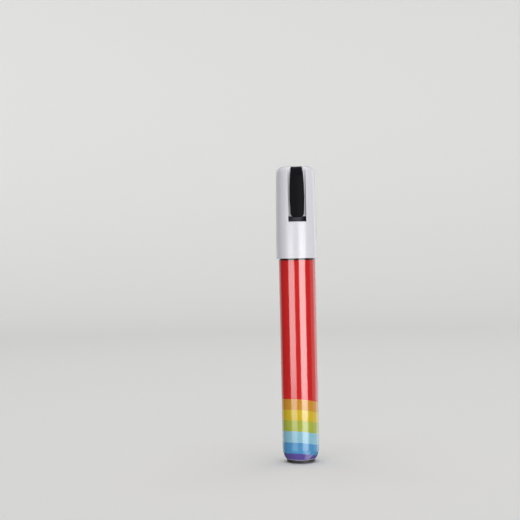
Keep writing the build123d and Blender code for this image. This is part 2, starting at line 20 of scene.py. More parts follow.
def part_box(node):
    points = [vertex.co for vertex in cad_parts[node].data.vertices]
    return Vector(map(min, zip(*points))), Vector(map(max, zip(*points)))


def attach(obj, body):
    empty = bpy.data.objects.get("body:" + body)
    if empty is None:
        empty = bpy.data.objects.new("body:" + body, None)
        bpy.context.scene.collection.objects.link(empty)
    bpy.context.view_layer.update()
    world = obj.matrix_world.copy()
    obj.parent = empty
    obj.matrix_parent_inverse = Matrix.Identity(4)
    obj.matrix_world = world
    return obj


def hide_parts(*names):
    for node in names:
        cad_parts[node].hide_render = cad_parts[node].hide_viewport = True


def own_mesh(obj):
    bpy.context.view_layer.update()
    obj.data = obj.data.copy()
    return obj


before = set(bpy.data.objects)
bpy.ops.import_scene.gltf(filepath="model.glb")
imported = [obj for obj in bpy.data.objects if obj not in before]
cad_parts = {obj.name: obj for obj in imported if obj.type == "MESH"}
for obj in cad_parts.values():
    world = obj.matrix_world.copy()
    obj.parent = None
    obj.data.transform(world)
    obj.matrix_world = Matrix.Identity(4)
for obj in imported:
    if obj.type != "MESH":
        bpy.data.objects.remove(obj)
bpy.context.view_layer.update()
LOG = logging.getLogger("marker")

MM = 0.001
# Columns round a turned piece.
TURN_STEPS = 224
# Points closer than this become one.
MERGE_DISTANCE = 0.0002
# Takes the place of a length of zero in a division.
TINY = np.finfo(float).tiny
# Largest share of a side that the arc at one of its ends takes up.
ARC_SHARE = 0.49
# Watts that an area light takes for each unit of brightness and square metre.
LAMP_POWER = 4.0
# Sockets of a colour mix, which go by number because its other kinds share their names.
FACTOR, FIRST, SECOND, MIXED = 0, 6, 7, 2

Value = float | tuple[float, ...] | bpy.types.Node | bpy.types.NodeSocket
Inputs = dict[str | int, Value]


class Body(Enum):
    """Bodies of the frame that new pieces ride on."""

    BARREL_UNIT = "barrel_unit"
    NIB_UNIT = "nib_unit"
    CAP = "cap"
    CLIP = "clip"


class Stripe(Enum):
    """Printed bands from the tail upwards: colour, and the height where the band starts."""

    PURPLE = ("#6252A0", 0.0)
    BLUE = ("#5096C8", 5.0)
    SKY = ("#8FC1D4", 10.3)
    GREEN = ("#ABB545", 15.75)
    YELLOW = ("#D6B828", 21.05)
    ORANGE = ("#D0922E", 26.15)
    RED = ("#D22121", 31.3)

    def __init__(self, colour: str, start: float) -> None:
        """Names the two parts of a band's value."""
        self.colour = colour
        self.start = start


class Kind(Enum):
    """Nodes that the finishes and the lights are made of."""

    COORDINATES = "ShaderNodeTexCoord"
    GEOMETRY = "ShaderNodeNewGeometry"
    SPLIT = "ShaderNodeSeparateXYZ"
    MAPPING = "ShaderNodeMapping"
    NOISE = "ShaderNodeTexNoise"
    RANGE = "ShaderNodeMapRange"
    RAMP = "ShaderNodeValToRGB"
    MATH = "ShaderNodeMath"
    VECTOR_MATH = "ShaderNodeVectorMath"
    MIX = "ShaderNodeMix"
    BUMP = "ShaderNodeBump"


class Corner(NamedTuple):
    """Corner of a side view: its place, and the radius of the arc that rounds it."""

    out: float
    up: float
    fillet: float = 0.0


def linear(hex_colour: str, shade: float = 1.0) -> tuple[float, float, float, float]:
    """Turns an sRGB hex value into a linear colour.

    Args:
        hex_colour: the colour as #RRGGBB.
        shade: factor on the linear colour.

    Returns:
        Red, green, blue and a full alpha.
    """
    srgb = np.array([int(hex_colour[i : i + 2], 16) for i in (1, 3, 5)]) / 255.0
    flat = np.where(srgb <= 0.04045, srgb / 12.92, ((srgb + 0.055) / 1.055) ** 2.4)
    red, green, blue = (float(part) for part in flat * shade)
    return red, green, blue, 1.0


def per_metre(size_mm: float) -> float:
    """Texture scale that gives a pattern of this size in millimetres."""
    return 1.0 / (size_mm * MM)


def ease(low: float, high: float, at: np.ndarray) -> np.ndarray:
    """Smooth step from 0 at low to 1 at high: 3t squared less 2t cubed."""
    share = np.clip((at - low) / (high - low), 0.0, 1.0)
    return share * share * (3.0 - 2.0 * share)


def soft_positive(at: np.ndarray, width: float) -> np.ndarray:
    """Positive part of a number, its corner rounded over a width: half of it plus its soft size."""
    return 0.5 * (at + np.sqrt(at * at + width * width))


def nearest(values: np.ndarray, at: float) -> int:
    """Number of the value that is nearest to another."""
    return int(np.argmin(np.abs(values - at)))


def even_turn(steps: int) -> np.ndarray:
    """Angles at even steps once round."""
    return np.arange(steps) * (2.0 * math.pi / steps)


def arc(
    centre: tuple[float, float] | np.ndarray, radius: float, start: float, end: float, steps: int
) -> np.ndarray:
    """Points on a circle: the centre plus radius times cos a and sin a, at even steps of the angle a.

    Args:
        centre: the circle's middle.
        radius: the circle's radius.
        start: angle of the first point, from the first axis towards the second.
        end: angle of the last point.
        steps: points on the arc.

    Returns:
        The points, one row each.
    """
    turn = np.linspace(start, end, steps)
    return np.asarray(centre) + radius * np.column_stack([np.cos(turn), np.sin(turn)])


def rounded(corners: list[Corner], steps: int = 7) -> np.ndarray:
    """Open line through corners, each one replaced by a tangent arc.

    At a corner whose two sides open by an angle, the arc of radius r starts r / tan(angle / 2) away from
    the corner along each side, and its centre lies on the bisector, r / sin(angle / 2) away.

    Args:
        corners: the corners, and the line's two ends, which stay as they are.
        steps: points on each arc.

    Returns:
        Points of the line, one row each.
    """
    spots = np.array([(corner.out, corner.up) for corner in corners])
    pieces = [spots[:1]]
    for before, spot, after, corner in zip(spots, spots[1:], spots[2:], corners[1:]):
        if corner.fillet <= 0.0:
            pieces.append(spot[None])
            continue
        sides = np.array([before - spot, after - spot])
        lengths = np.linalg.norm(sides, axis=1)
        back, ahead = sides / lengths[:, None]
        half = 0.5 * math.acos(float(np.clip(back @ ahead, -1.0, 1.0)))
        reach = min(corner.fillet / math.tan(half), ARC_SHARE * lengths.min())
        radius = reach * math.tan(half)
        middle = back + ahead
        centre = spot + middle / np.linalg.norm(middle) * (radius / math.sin(half))
        first, last = spot + back * reach - centre, spot + ahead * reach - centre
        start = math.atan2(first[1], first[0])
        sweep = (math.atan2(last[1], last[0]) - start + math.pi) % (2.0 * math.pi) - math.pi
        pieces.append(arc(centre, radius, start, start + sweep, steps))
    pieces.append(spots[-1:])
    return np.concatenate(pieces)


def resampled(line: np.ndarray, count: int) -> np.ndarray:
    """Points evenly spaced along a line's length.

    Args:
        line: points of the line, one row each.
        count: how many points to return.

    Returns:
        The new points.
    """
    along = np.concatenate([[0.0], np.cumsum(np.linalg.norm(np.diff(line, axis=0), axis=1))])
    stations = np.linspace(0.0, along[-1], count)
    return np.column_stack([np.interp(stations, along, line[:, axis]) for axis in (0, 1)])


def lathe(profile: np.ndarray, turn: np.ndarray = even_turn(TURN_STEPS)) -> np.ndarray:
    """Turns a profile about the axis: x is r times sin a, y is minus r times cos a, z stays.

    Args:
        profile: radius and height of each row.
        turn: angle of each column from the clip's side, the same for all rows or row by row.

    Returns:
        Grid of rows by columns by three coordinates.
    """
    radius, height = profile[:, :1], profile[:, 1:]
    x, y = radius * np.sin(turn), -radius * np.cos(turn)
    return np.stack([x, y, np.broadcast_to(height, x.shape)], axis=-1)


class Skin:
    """Points and faces of one piece, gathered from grids in millimetres."""

    def __init__(self) -> None:
        """Starts with no points."""
        self.points: list[np.ndarray] = []
        self.faces: list[list[int]] = []
        self.count = 0

    def grid(
        self, points: np.ndarray, closed: bool = False, left_out: np.ndarray | None = None
    ) -> np.ndarray:
        """Adds a grid whose columns go all the way round, with a quad between each four neighbours.

        Args:
            points: rows by columns by three coordinates.
            closed: whether the last row joins the first.
            left_out: rows by columns, true where the quad that starts there is left out.

        Returns:
            The points' numbers, rows by columns.
        """
        rows, columns = points.shape[:2]
        index = self.count + np.arange(rows * columns).reshape(rows, columns)
        self.points.append(points.reshape(-1, 3))
        self.count += rows * columns
        keep = np.ones((rows, columns), bool)
        keep[-1] = closed
        if left_out is not None:
            keep &= ~left_out
        above = np.roll(index, -1, axis=0)
        beside, across = np.roll(index, -1, axis=1), np.roll(above, -1, axis=1)
        self.faces += np.stack([index, beside, across, above], axis=-1)[keep].tolist()
        return index

    def stitch(self, first: np.ndarray, second: np.ndarray) -> None:
        """Adds a closed band of quads between two loops of the same number of points."""
        bands = [first, np.roll(first, -1), np.roll(second, -1), second]
        self.faces += np.stack(bands, axis=-1).tolist()

    def cover(self, loop: np.ndarray) -> None:
        """Adds one flat face over a loop of points."""
        self.faces.append(loop.tolist())

    def piece(self, name: str) -> bpy.types.Object:
        """Makes the object, with its seams and poles closed and its faces outwards.

        Args:
            name: the piece's name.

        Returns:
            The new object, in the scene.
        """
        mesh = bpy.data.meshes.new(name)
        mesh.from_pydata((np.concatenate(self.points) * MM).tolist(), [], self.faces)
        work = bmesh.new()
        work.from_mesh(mesh)
        bmesh.ops.remove_doubles(work, verts=work.verts, dist=MERGE_DISTANCE * MM)
        bmesh.ops.recalc_face_normals(work, faces=work.faces)
        work.to_mesh(mesh)
        work.free()
        shade_by_area(mesh)
        made = bpy.data.objects.new(name, mesh)
        bpy.context.scene.collection.objects.link(made)
        return made


def shade_by_area(mesh: bpy.types.Mesh) -> None:
    """Gives a mesh smooth normals, each the sum of its faces' normals times their areas.

    Large flat faces then stay flat beside the small rounds at their edges.

    Args:
        mesh: the mesh to shade.
    """
    faces, corners = len(mesh.polygons), len(mesh.loops)
    mesh.polygons.foreach_set("use_smooth", np.ones(faces, bool))
    normals, areas = np.empty(faces * 3), np.empty(faces)
    totals, owners = np.empty(faces, np.int32), np.empty(corners, np.int32)
    mesh.polygons.foreach_get("normal", normals)
    mesh.polygons.foreach_get("area", areas)
    mesh.polygons.foreach_get("loop_total", totals)
    mesh.loops.foreach_get("vertex_index", owners)
    weighted = np.repeat(normals.reshape(-1, 3) * areas[:, None], totals, axis=0)
    sums = np.zeros((len(mesh.vertices), 3))
    np.add.at(sums, owners, weighted)
    lengths = np.linalg.norm(sums, axis=1, keepdims=True)
    mesh.normals_split_custom_set_from_vertices((sums / np.maximum(lengths, TINY)).tolist())


def grid_piece(name: str, grid: np.ndarray, closed: bool = False) -> bpy.types.Object:
    """Makes a piece from one grid.

    Args:
        name: the piece's name.
        grid: rows by columns by three coordinates.
        closed: true for a tube, whose last row joins its first.

    Returns:
        The new object.
    """
    skin = Skin()
    skin.grid(grid, closed)
    return skin.piece(name)


class NodeTree:
    """Node tree of a material, a lamp or the surroundings, filled a node at a time."""

    def __init__(self, tree: bpy.types.NodeTree) -> None:
        """Takes the tree to fill."""
        self.tree = tree

    def add(self, kind: Kind, inputs: Inputs, **settings: object) -> bpy.types.Node:
        """Adds a node, sets its options and fills or links its inputs.

        Args:
            kind: the node's type.
            inputs: what each input gets, by name or number.
            settings: the node's options.

        Returns:
            The new node.
        """
        node = self.tree.nodes.new(kind.value)
        for option, value in settings.items():
            setattr(node, option, value)
        self.feed(node, inputs)
        return node

    def feed(self, node: bpy.types.Node, inputs: Inputs) -> None:
        """Fills or links a node's inputs.

        Args:
            node: the node.
            inputs: a value, a socket, or a node that stands for its first output, by name or number.
        """
        for socket, value in inputs.items():
            source = value.outputs[0] if isinstance(value, bpy.types.Node) else value
            if isinstance(source, bpy.types.NodeSocket):
                self.tree.links.new(source, node.inputs[socket])
            else:
                node.inputs[socket].default_value = source


class Recipe(NodeTree):
    """Node tree of one material, with its shader and the object's own coordinates at hand."""

    def __init__(self, name: str) -> None:
        """Starts a material that has a Principled shader.

        Args:
            name: the material's name.
        """
        self.material = bpy.data.materials.new(name)
        self.material.use_nodes = True
        super().__init__(self.material.node_tree)

    @cached_property
    def spot(self) -> bpy.types.NodeSocket:
        """Object coordinates, added when a pattern first asks for them."""
        return self.add(Kind.COORDINATES, {}).outputs["Object"]

    def made(self, inputs: Inputs) -> bpy.types.Material:
        """Feeds the shader and hands over the material."""
        self.feed(self.tree.nodes["Principled BSDF"], inputs)
        return self.material


@dataclass(frozen=True)
class MouldedPlastic:
    """Injection-moulded plastic: one body colour with faint flow clouds and the mould's eroded grain.

    The grain is really about 0.1 mm wide; it is drawn coarser, at grain_mm, so that it shows at all.
    """

    name: str
    colour: str
    roughness: float
    ior: float = 1.49
    specular: float = 0.5
    gloss_spread: float = 0.05
    grain_mm: float = 0.3
    grain_depth_mm: float = 0.004
    cloud_mm: float = 11.0
    cloud_shade: float = 0.96

    def material(self) -> bpy.types.Material:
        """Makes the material: coarse noise shades the colour, fine noise the gloss and the bumps.

        Returns:
            The material.
        """
        recipe = Recipe(self.name)
        cloud = recipe.add(
            Kind.NOISE, {"Vector": recipe.spot, "Scale": per_metre(self.cloud_mm), "Detail": 2.0}
        )
        grain = recipe.add(
            Kind.NOISE, {"Vector": recipe.spot, "Scale": per_metre(self.grain_mm), "Detail": 3.0}
        )
        tone = recipe.add(
            Kind.MIX,
            {FACTOR: cloud, FIRST: linear(self.colour, self.cloud_shade), SECOND: linear(self.colour)},
            data_type="RGBA",
        )
        dullest, glossiest = self.roughness + self.gloss_spread, self.roughness - self.gloss_spread
        gloss = recipe.add(Kind.RANGE, {"Value": grain, "To Min": glossiest, "To Max": dullest})
        bump = recipe.add(
            Kind.BUMP, {"Height": grain, "Strength": 1.0, "Distance": self.grain_depth_mm * MM}
        )
        return recipe.made(
            {
                "Base Color": tone.outputs[MIXED],
                "Roughness": gloss,
                "IOR": self.ior,
                "Specular IOR Level": self.specular,
                "Normal": bump,
            }
        )


@dataclass(frozen=True)
class PrintedFilm:
    """Shrink film printed on its underside: even ink behind a clear glossy skin, and a pale band along
    its lower edge.

    The bands lean to one side and sag at both, as the sleeve went on a little askew. The ink's fine
    unevenness is really under 0.2 mm; it is drawn at ink_mm so that it shows.
    """

    radius: float
    name: str = "printed_pet_shrink_film"
    tilt: float = 0.95
    sag: float = 1.25
    red_in_ramp: float = 10.0
    pale_band_top: float = 1.95
    pale_band_colour: str = "#B9AEC6"
    ink_mm: float = 0.9
    ink_shade: float = 0.93
    roughness: float = 0.12
    ior: float = 1.57
    ripple_mm: float = 7.0
    ripple_depth_mm: float = 0.012

    def material(self) -> bpy.types.Material:
        """Makes the material: bands by the height z + s * (tilt + sag * s), where s is x / radius.

        Returns:
            The material.
        """
        recipe = Recipe(self.name)
        top = Stripe.RED.start + self.red_in_ramp
        place = recipe.add(Kind.SPLIT, {0: recipe.spot})
        x, z = place.outputs["X"], place.outputs["Z"]
        side = recipe.add(Kind.MATH, {0: x, 1: per_metre(self.radius)}, operation="MULTIPLY")
        slope = recipe.add(
            Kind.MATH, {0: side, 1: self.sag / top, 2: self.tilt / top}, operation="MULTIPLY_ADD"
        )
        lean = recipe.add(Kind.MATH, {0: side, 1: slope}, operation="MULTIPLY")
        level = recipe.add(Kind.MATH, {0: z, 1: per_metre(top), 2: lean}, operation="MULTIPLY_ADD")
        bands = recipe.add(Kind.RAMP, {0: level})
        bands.color_ramp.interpolation = "CONSTANT"
        marks = bands.color_ramp.elements
        # A new ramp has two marks already.
        for stripe in list(Stripe)[2:]:
            marks.new(stripe.start / top)
        for mark, stripe in zip(marks, Stripe):
            mark.position = stripe.start / top
            mark.color = linear(stripe.colour)
        ink = recipe.add(
            Kind.NOISE, {"Vector": recipe.spot, "Scale": per_metre(self.ink_mm), "Detail": 4.0}
        )
        density = recipe.add(
            Kind.RANGE, {"Value": ink, "To Min": self.ink_shade, "To Max": 2.0 - self.ink_shade}
        )
        print_tone = recipe.add(Kind.VECTOR_MATH, {0: bands, 1: density}, operation="MULTIPLY")
        # Below this height the film shows one flat pale colour in place of the print.
        in_pale_band = recipe.add(Kind.MATH, {0: z, 1: self.pale_band_top * MM}, operation="LESS_THAN")
        tone = recipe.add(
            Kind.MIX,
            {FACTOR: in_pale_band, FIRST: print_tone, SECOND: linear(self.pale_band_colour)},
            data_type="RGBA",
        )
        ripple = recipe.add(
            Kind.NOISE, {"Vector": recipe.spot, "Scale": per_metre(self.ripple_mm), "Detail": 1.0}
        )
        bump = recipe.add(
            Kind.BUMP, {"Height": ripple, "Strength": 1.0, "Distance": self.ripple_depth_mm * MM}
        )
        return recipe.made(
            {
                "Base Color": tone.outputs[MIXED],
                "Roughness": self.roughness,
                "IOR": self.ior,
                "Normal": bump,
            }
        )


@dataclass(frozen=True)
class PressedFibre:
    """Bundled polyester fibre: matt, with fine streaks along the nib and ink drawn up towards the point.

    Real fibres are about 0.02 mm thick; the streaks are drawn at streak_mm so that they show.
    """

    point_z: float
    name: str = "pressed_polyester_fibre"
    dry: str = "#E9DFD6"
    inked: str = "#CF5A52"
    streak_mm: float = 0.16
    streak_length: float = 14.0
    streak_depth_mm: float = 0.03
    soaked_length: float = 9.0
    ink_at_back: float = 0.75
    ink_strength: float = 1.7
    roughness: float = 0.85
    sheen: float = 0.25

    def material(self) -> bpy.types.Material:
        """Makes the material: noise stretched along Z for the fibres, a ramp along Z for the ink.

        Returns:
            The material.
        """
        recipe = Recipe(self.name)
        drawn = recipe.add(
            Kind.MAPPING, {"Vector": recipe.spot, "Scale": (1.0, 1.0, 1.0 / self.streak_length)}
        )
        streak = recipe.add(
            Kind.NOISE, {"Vector": drawn, "Scale": per_metre(self.streak_mm), "Detail": 2.0}
        )
        place = recipe.add(Kind.SPLIT, {0: recipe.spot})
        soaked = recipe.add(
            Kind.RANGE,
            {
                "Value": place.outputs["Z"],
                "From Min": (self.point_z - self.soaked_length) * MM,
                "From Max": self.point_z * MM,
            },
            interpolation_type="SMOOTHSTEP",
        )
        share = recipe.add(
            Kind.MATH,
            {0: soaked, 1: 1.0 - self.ink_at_back, 2: self.ink_at_back},
            operation="MULTIPLY_ADD",
        )
        wick = recipe.add(Kind.MATH, {0: share, 1: streak}, operation="MULTIPLY")
        reach = recipe.add(
            Kind.MATH, {0: wick, 1: self.ink_strength}, operation="MULTIPLY", use_clamp=True
        )
        tone = recipe.add(
            Kind.MIX,
            {FACTOR: reach, FIRST: linear(self.dry), SECOND: linear(self.inked)},
            data_type="RGBA",
        )
        bump = recipe.add(
            Kind.BUMP, {"Height": streak, "Strength": 1.0, "Distance": self.streak_depth_mm * MM}
        )
        return recipe.made(
            {
                "Base Color": tone.outputs[MIXED],
                "Roughness": self.roughness,
                "Sheen Weight": self.sheen,
                "Normal": bump,
            }
        )


@dataclass(frozen=True)
class Steel:
    """Bare steel: bright metal with fine marks from drawing or tumbling.

    Real marks are a few hundredths of a millimetre wide; they are drawn at mark_mm so that they show.
    """

    name: str
    colour: str
    roughness: float
    mark_mm: float
    gloss_spread: float = 0.3
    mark_shade: float = 0.85

    def material(self) -> bpy.types.Material:
        """Makes the material: one noise shades the colour and the gloss.

        Returns:
            The material.
        """
        recipe = Recipe(self.name)
        marks = recipe.add(
            Kind.NOISE, {"Vector": recipe.spot, "Scale": per_metre(self.mark_mm), "Detail": 4.0}
        )
        spread = self.gloss_spread * self.roughness
        gloss = recipe.add(
            Kind.RANGE,
            {"Value": marks, "To Min": self.roughness - spread, "To Max": self.roughness + spread},
        )
        tone = recipe.add(
            Kind.MIX,
            {FACTOR: marks, FIRST: linear(self.colour, self.mark_shade), SECOND: linear(self.colour)},
            data_type="RGBA",
        )
        return recipe.made({"Base Color": tone.outputs[MIXED], "Metallic": 1.0, "Roughness": gloss})


@dataclass(frozen=True)
class Paper:
    """Background paper: pale and matt, with a little light of its own so that it stays even."""

    name: str = "matt_pale_paper"
    colour: str = "#E9E9E7"
    roughness: float = 0.95
    specular: float = 0.1
    glow: float = 0.04

    def material(self) -> bpy.types.Material:
        """Makes the material."""
        return Recipe(self.name).made(
            {
                "Base Color": linear(self.colour),
                "Roughness": self.roughness,
                "Specular IOR Level": self.specular,
                "Emission Color": linear(self.colour),
                "Emission Strength": self.glow,
            }
        )


Finish = MouldedPlastic | PrintedFilm | PressedFibre | Steel | Paper


def dress(piece: bpy.types.Object, finish: Finish) -> None:
    """Gives a piece one finish all over."""
    piece.data.materials.clear()
    piece.data.materials.append(finish.material())


def seat(piece: bpy.types.Object, finish: Finish, body: Body, node: str) -> None:
    """Dresses a piece and puts it in the place of a CAD node, with the node's body.

    Args:
        piece: the new piece.
        finish: its finish.
        body: the body that it moves with.
        node: the CAD node that it stands for.
    """
    dress(piece, finish)
    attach(piece, body.value)
    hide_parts(node)
    LOG.info("%s: %d faces on %s", piece.name, len(piece.data.polygons), body.value)


@dataclass(frozen=True)
class Extent:
    """Radius and end heights of a round CAD node."""

    radius: float
    low: float
    high: float

    @classmethod
    def of(cls, node: str) -> "Extent":
        """Measures a node in the frame."""
        low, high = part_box(node)
        return cls((high.x - low.x) / 2.0 / MM, low.z / MM, high.z / MM)


@dataclass(frozen=True)
class BarrelUnit:
    """Barrel, its printed film and the end plug.

    A wave of the film's puckers is given by its count round the sleeve, its height and its start.
    """

    barrel: Extent = field(default_factory=lambda: Extent.of("barrel"))
    film: Extent = field(default_factory=lambda: Extent.of("film_sleeve"))
    plug: Extent = field(default_factory=lambda: Extent.of("end_plug"))
    rim_z: float = field(default_factory=lambda: Extent.of("cap_shell").low)
    wall: float = 1.2
    step: float = 0.2
    step_show: float = 0.4
    mouth_chamfer: float = 0.4
    edge_run: float = 1.0
    tail_round: float = 7.7
    tail_lip: float = 1.6
    tail_land: float = 0.05
    tail_funnel: float = 3.0
    film_gap: float = 0.02
    plug_gap: float = 0.03
    plug_wall: float = 1.7
    plug_roof: float = 1.4
    plug_dish: float = 0.5
    plug_chamfer: float = 0.4
    dish_rim: float = 0.9
    foot_round: float = 1.1
    pucker: float = 0.07
    pucker_reach: float = 1.3
    pucker_power: float = 1.5
    pucker_waves: tuple[tuple[float, float, float], ...] = (
        (17.0, 1.0, 0.0),
        (29.0, 0.8, 1.3),
        (41.0, 0.6, 0.4),
    )
    seam: float = 0.045
    seam_width: float = 4.5
    seam_cut: float = 0.15
    seam_fade: float = 0.6

    def tail_line(self, end_z: float, proud: float, steps: int = 28) -> np.ndarray:
        """Round of the tail, from its end up to the straight side.

        The barrel's side is tangent to a circle of radius tail_round; the line runs on a circle about the
        same centre, larger by how far it stands proud.

        Args:
            end_z: height where the line starts.
            proud: distance from the barrel's surface.
            steps: points on the line.

        Returns:
            Radius and height of each point.
        """
        draw_in = self.barrel.radius - self.plug.radius
        top_z = self.barrel.low + math.sqrt(self.tail_round**2 - (self.tail_round - draw_in) ** 2)
        size, centre = self.tail_round + proud, self.barrel.radius - self.tail_round
        return arc((centre, top_z), size, math.asin((end_z - top_z) / size), 0.0, steps)

    def build_barrel(self) -> bpy.types.Object:
        """Builds the tube: rounded tail, straight side, stepped mouth, bore and the plug's bore.

        Returns:
            The new piece.
        """
        outer, top, low = self.barrel.radius, self.barrel.high, self.barrel.low
        step_z, step_r = self.rim_z - self.step_show, outer - self.step
        bore, tail_bore = outer - self.wall, self.plug.radius - self.tail_lip
        inside = rounded(
            [
                Corner(outer, step_z - self.edge_run),
                Corner(outer, step_z, fillet=0.08),
                Corner(step_r, step_z, fillet=0.08),
                Corner(step_r, top, fillet=0.12),
                Corner(bore + self.mouth_chamfer, top, fillet=0.1),
                Corner(bore, top - self.mouth_chamfer, fillet=0.1),
                Corner(bore, self.plug.high + self.tail_funnel, fillet=1.0),
                Corner(tail_bore, self.plug.high, fillet=0.6),
                Corner(tail_bore, low, fillet=0.1),
                Corner(self.plug.radius - self.tail_land, low),
            ]
        )
        profile = np.concatenate([self.tail_line(low, 0.0), inside])
        return grid_piece("barrel_tube", lathe(profile), True)

    def build_film(self) -> bpy.types.Object:
        """Builds the sleeve, with shrink puckers at its tail edge and an overlap seam down the back.

        Each point moves outwards by the pucker, a sum of waves round the axis kept positive, which dies
        away exponentially above the edge, and on the outer face also by the seam's ramp at the back.

        Returns:
            The new piece.
        """
        outer, inner = self.film.radius, self.barrel.radius + self.film_gap
        edge_z = self.film.high - self.edge_run
        edge = rounded(
            [
                Corner(outer, edge_z),
                Corner(outer, self.film.high, fillet=0.04),
                Corner(inner, self.film.high, fillet=0.04),
                Corner(inner, edge_z),
            ]
        )
        outside = self.tail_line(self.film.low, outer - self.barrel.radius)
        inside = self.tail_line(self.film.low, self.film_gap)[::-1]
        profile = np.concatenate([outside, edge, inside])
        grid = lathe(profile)
        turn = np.arctan2(grid[..., 0], -grid[..., 1])
        waves = sum(size * np.sin(count * turn + start) for count, size, start in self.pucker_waves)
        highest = sum(size for _, size, _ in self.pucker_waves)
        fade = np.exp(-(grid[..., 2] - self.film.low) / self.pucker_reach)
        lift = self.pucker * fade * np.clip(waves / highest, 0.0, 1.0) ** self.pucker_power
        across = (turn % (2.0 * math.pi) - math.pi) * self.film.radius
        half = self.seam_width / 2.0
        overlap = ease(-half - self.seam_cut, -half, across)
        overlap *= 1.0 - ease(half - self.seam_fade, half + self.seam_fade, across)
        facing_out = np.arange(len(profile)) < len(outside) + len(edge) // 2
        lift += self.seam * overlap * facing_out[:, None]
        grid[..., 0] += lift * np.sin(turn)
        grid[..., 1] -= lift * np.cos(turn)
        return grid_piece("film_print_sleeve", grid, True)

    def build_plug(self) -> bpy.types.Object:
        """Builds the plug: a roof dished as a parabola, spigot, rounded foot and the core below.

        Returns:
            The new piece.
        """
        rim, top, seat_z = self.plug.radius, self.plug.high, self.barrel.low
        spigot = rim - self.tail_lip - self.plug_gap
        core = spigot - self.plug_wall
        dish_r, core_z = spigot - self.dish_rim, top - self.plug_dish - self.plug_roof
        reach = np.linspace(0.0, dish_r, 12)
        dish = np.column_stack([reach, top - self.plug_dish * (1.0 - (reach / dish_r) ** 2)])
        side = rounded(
            [
                Corner(dish_r, top),
                Corner(spigot - self.plug_chamfer, top, fillet=0.1),
                Corner(spigot, top - self.plug_chamfer, fillet=0.1),
                Corner(spigot, seat_z, fillet=0.05),
                Corner(rim, seat_z, fillet=0.12),
                Corner(rim, 0.0, fillet=self.foot_round),
                Corner(core, 0.0, fillet=0.25),
                Corner(core, core_z, fillet=0.4),
                Corner(0.0, core_z),
            ],
            steps=10,
        )
        return grid_piece("tail_plug", lathe(np.concatenate([dish, side[1:]])))

    def build(self) -> None:
        """Builds and dresses the three pieces."""
        # Polypropylene from a polished mould, deep black and glossy; the plug's polyethylene is satin.
        tube = MouldedPlastic(
            "moulded_black_polypropylene", "#141317", roughness=0.12, ior=1.57, grain_depth_mm=0.0
        )
        black = MouldedPlastic("moulded_black_polyethylene", "#2B2A2F", roughness=0.5)
        seat(self.build_barrel(), tube, Body.BARREL_UNIT, "barrel")
        seat(self.build_film(), PrintedFilm(self.film.radius), Body.BARREL_UNIT, "film_sleeve")
        seat(self.build_plug(), black, Body.BARREL_UNIT, "end_plug")


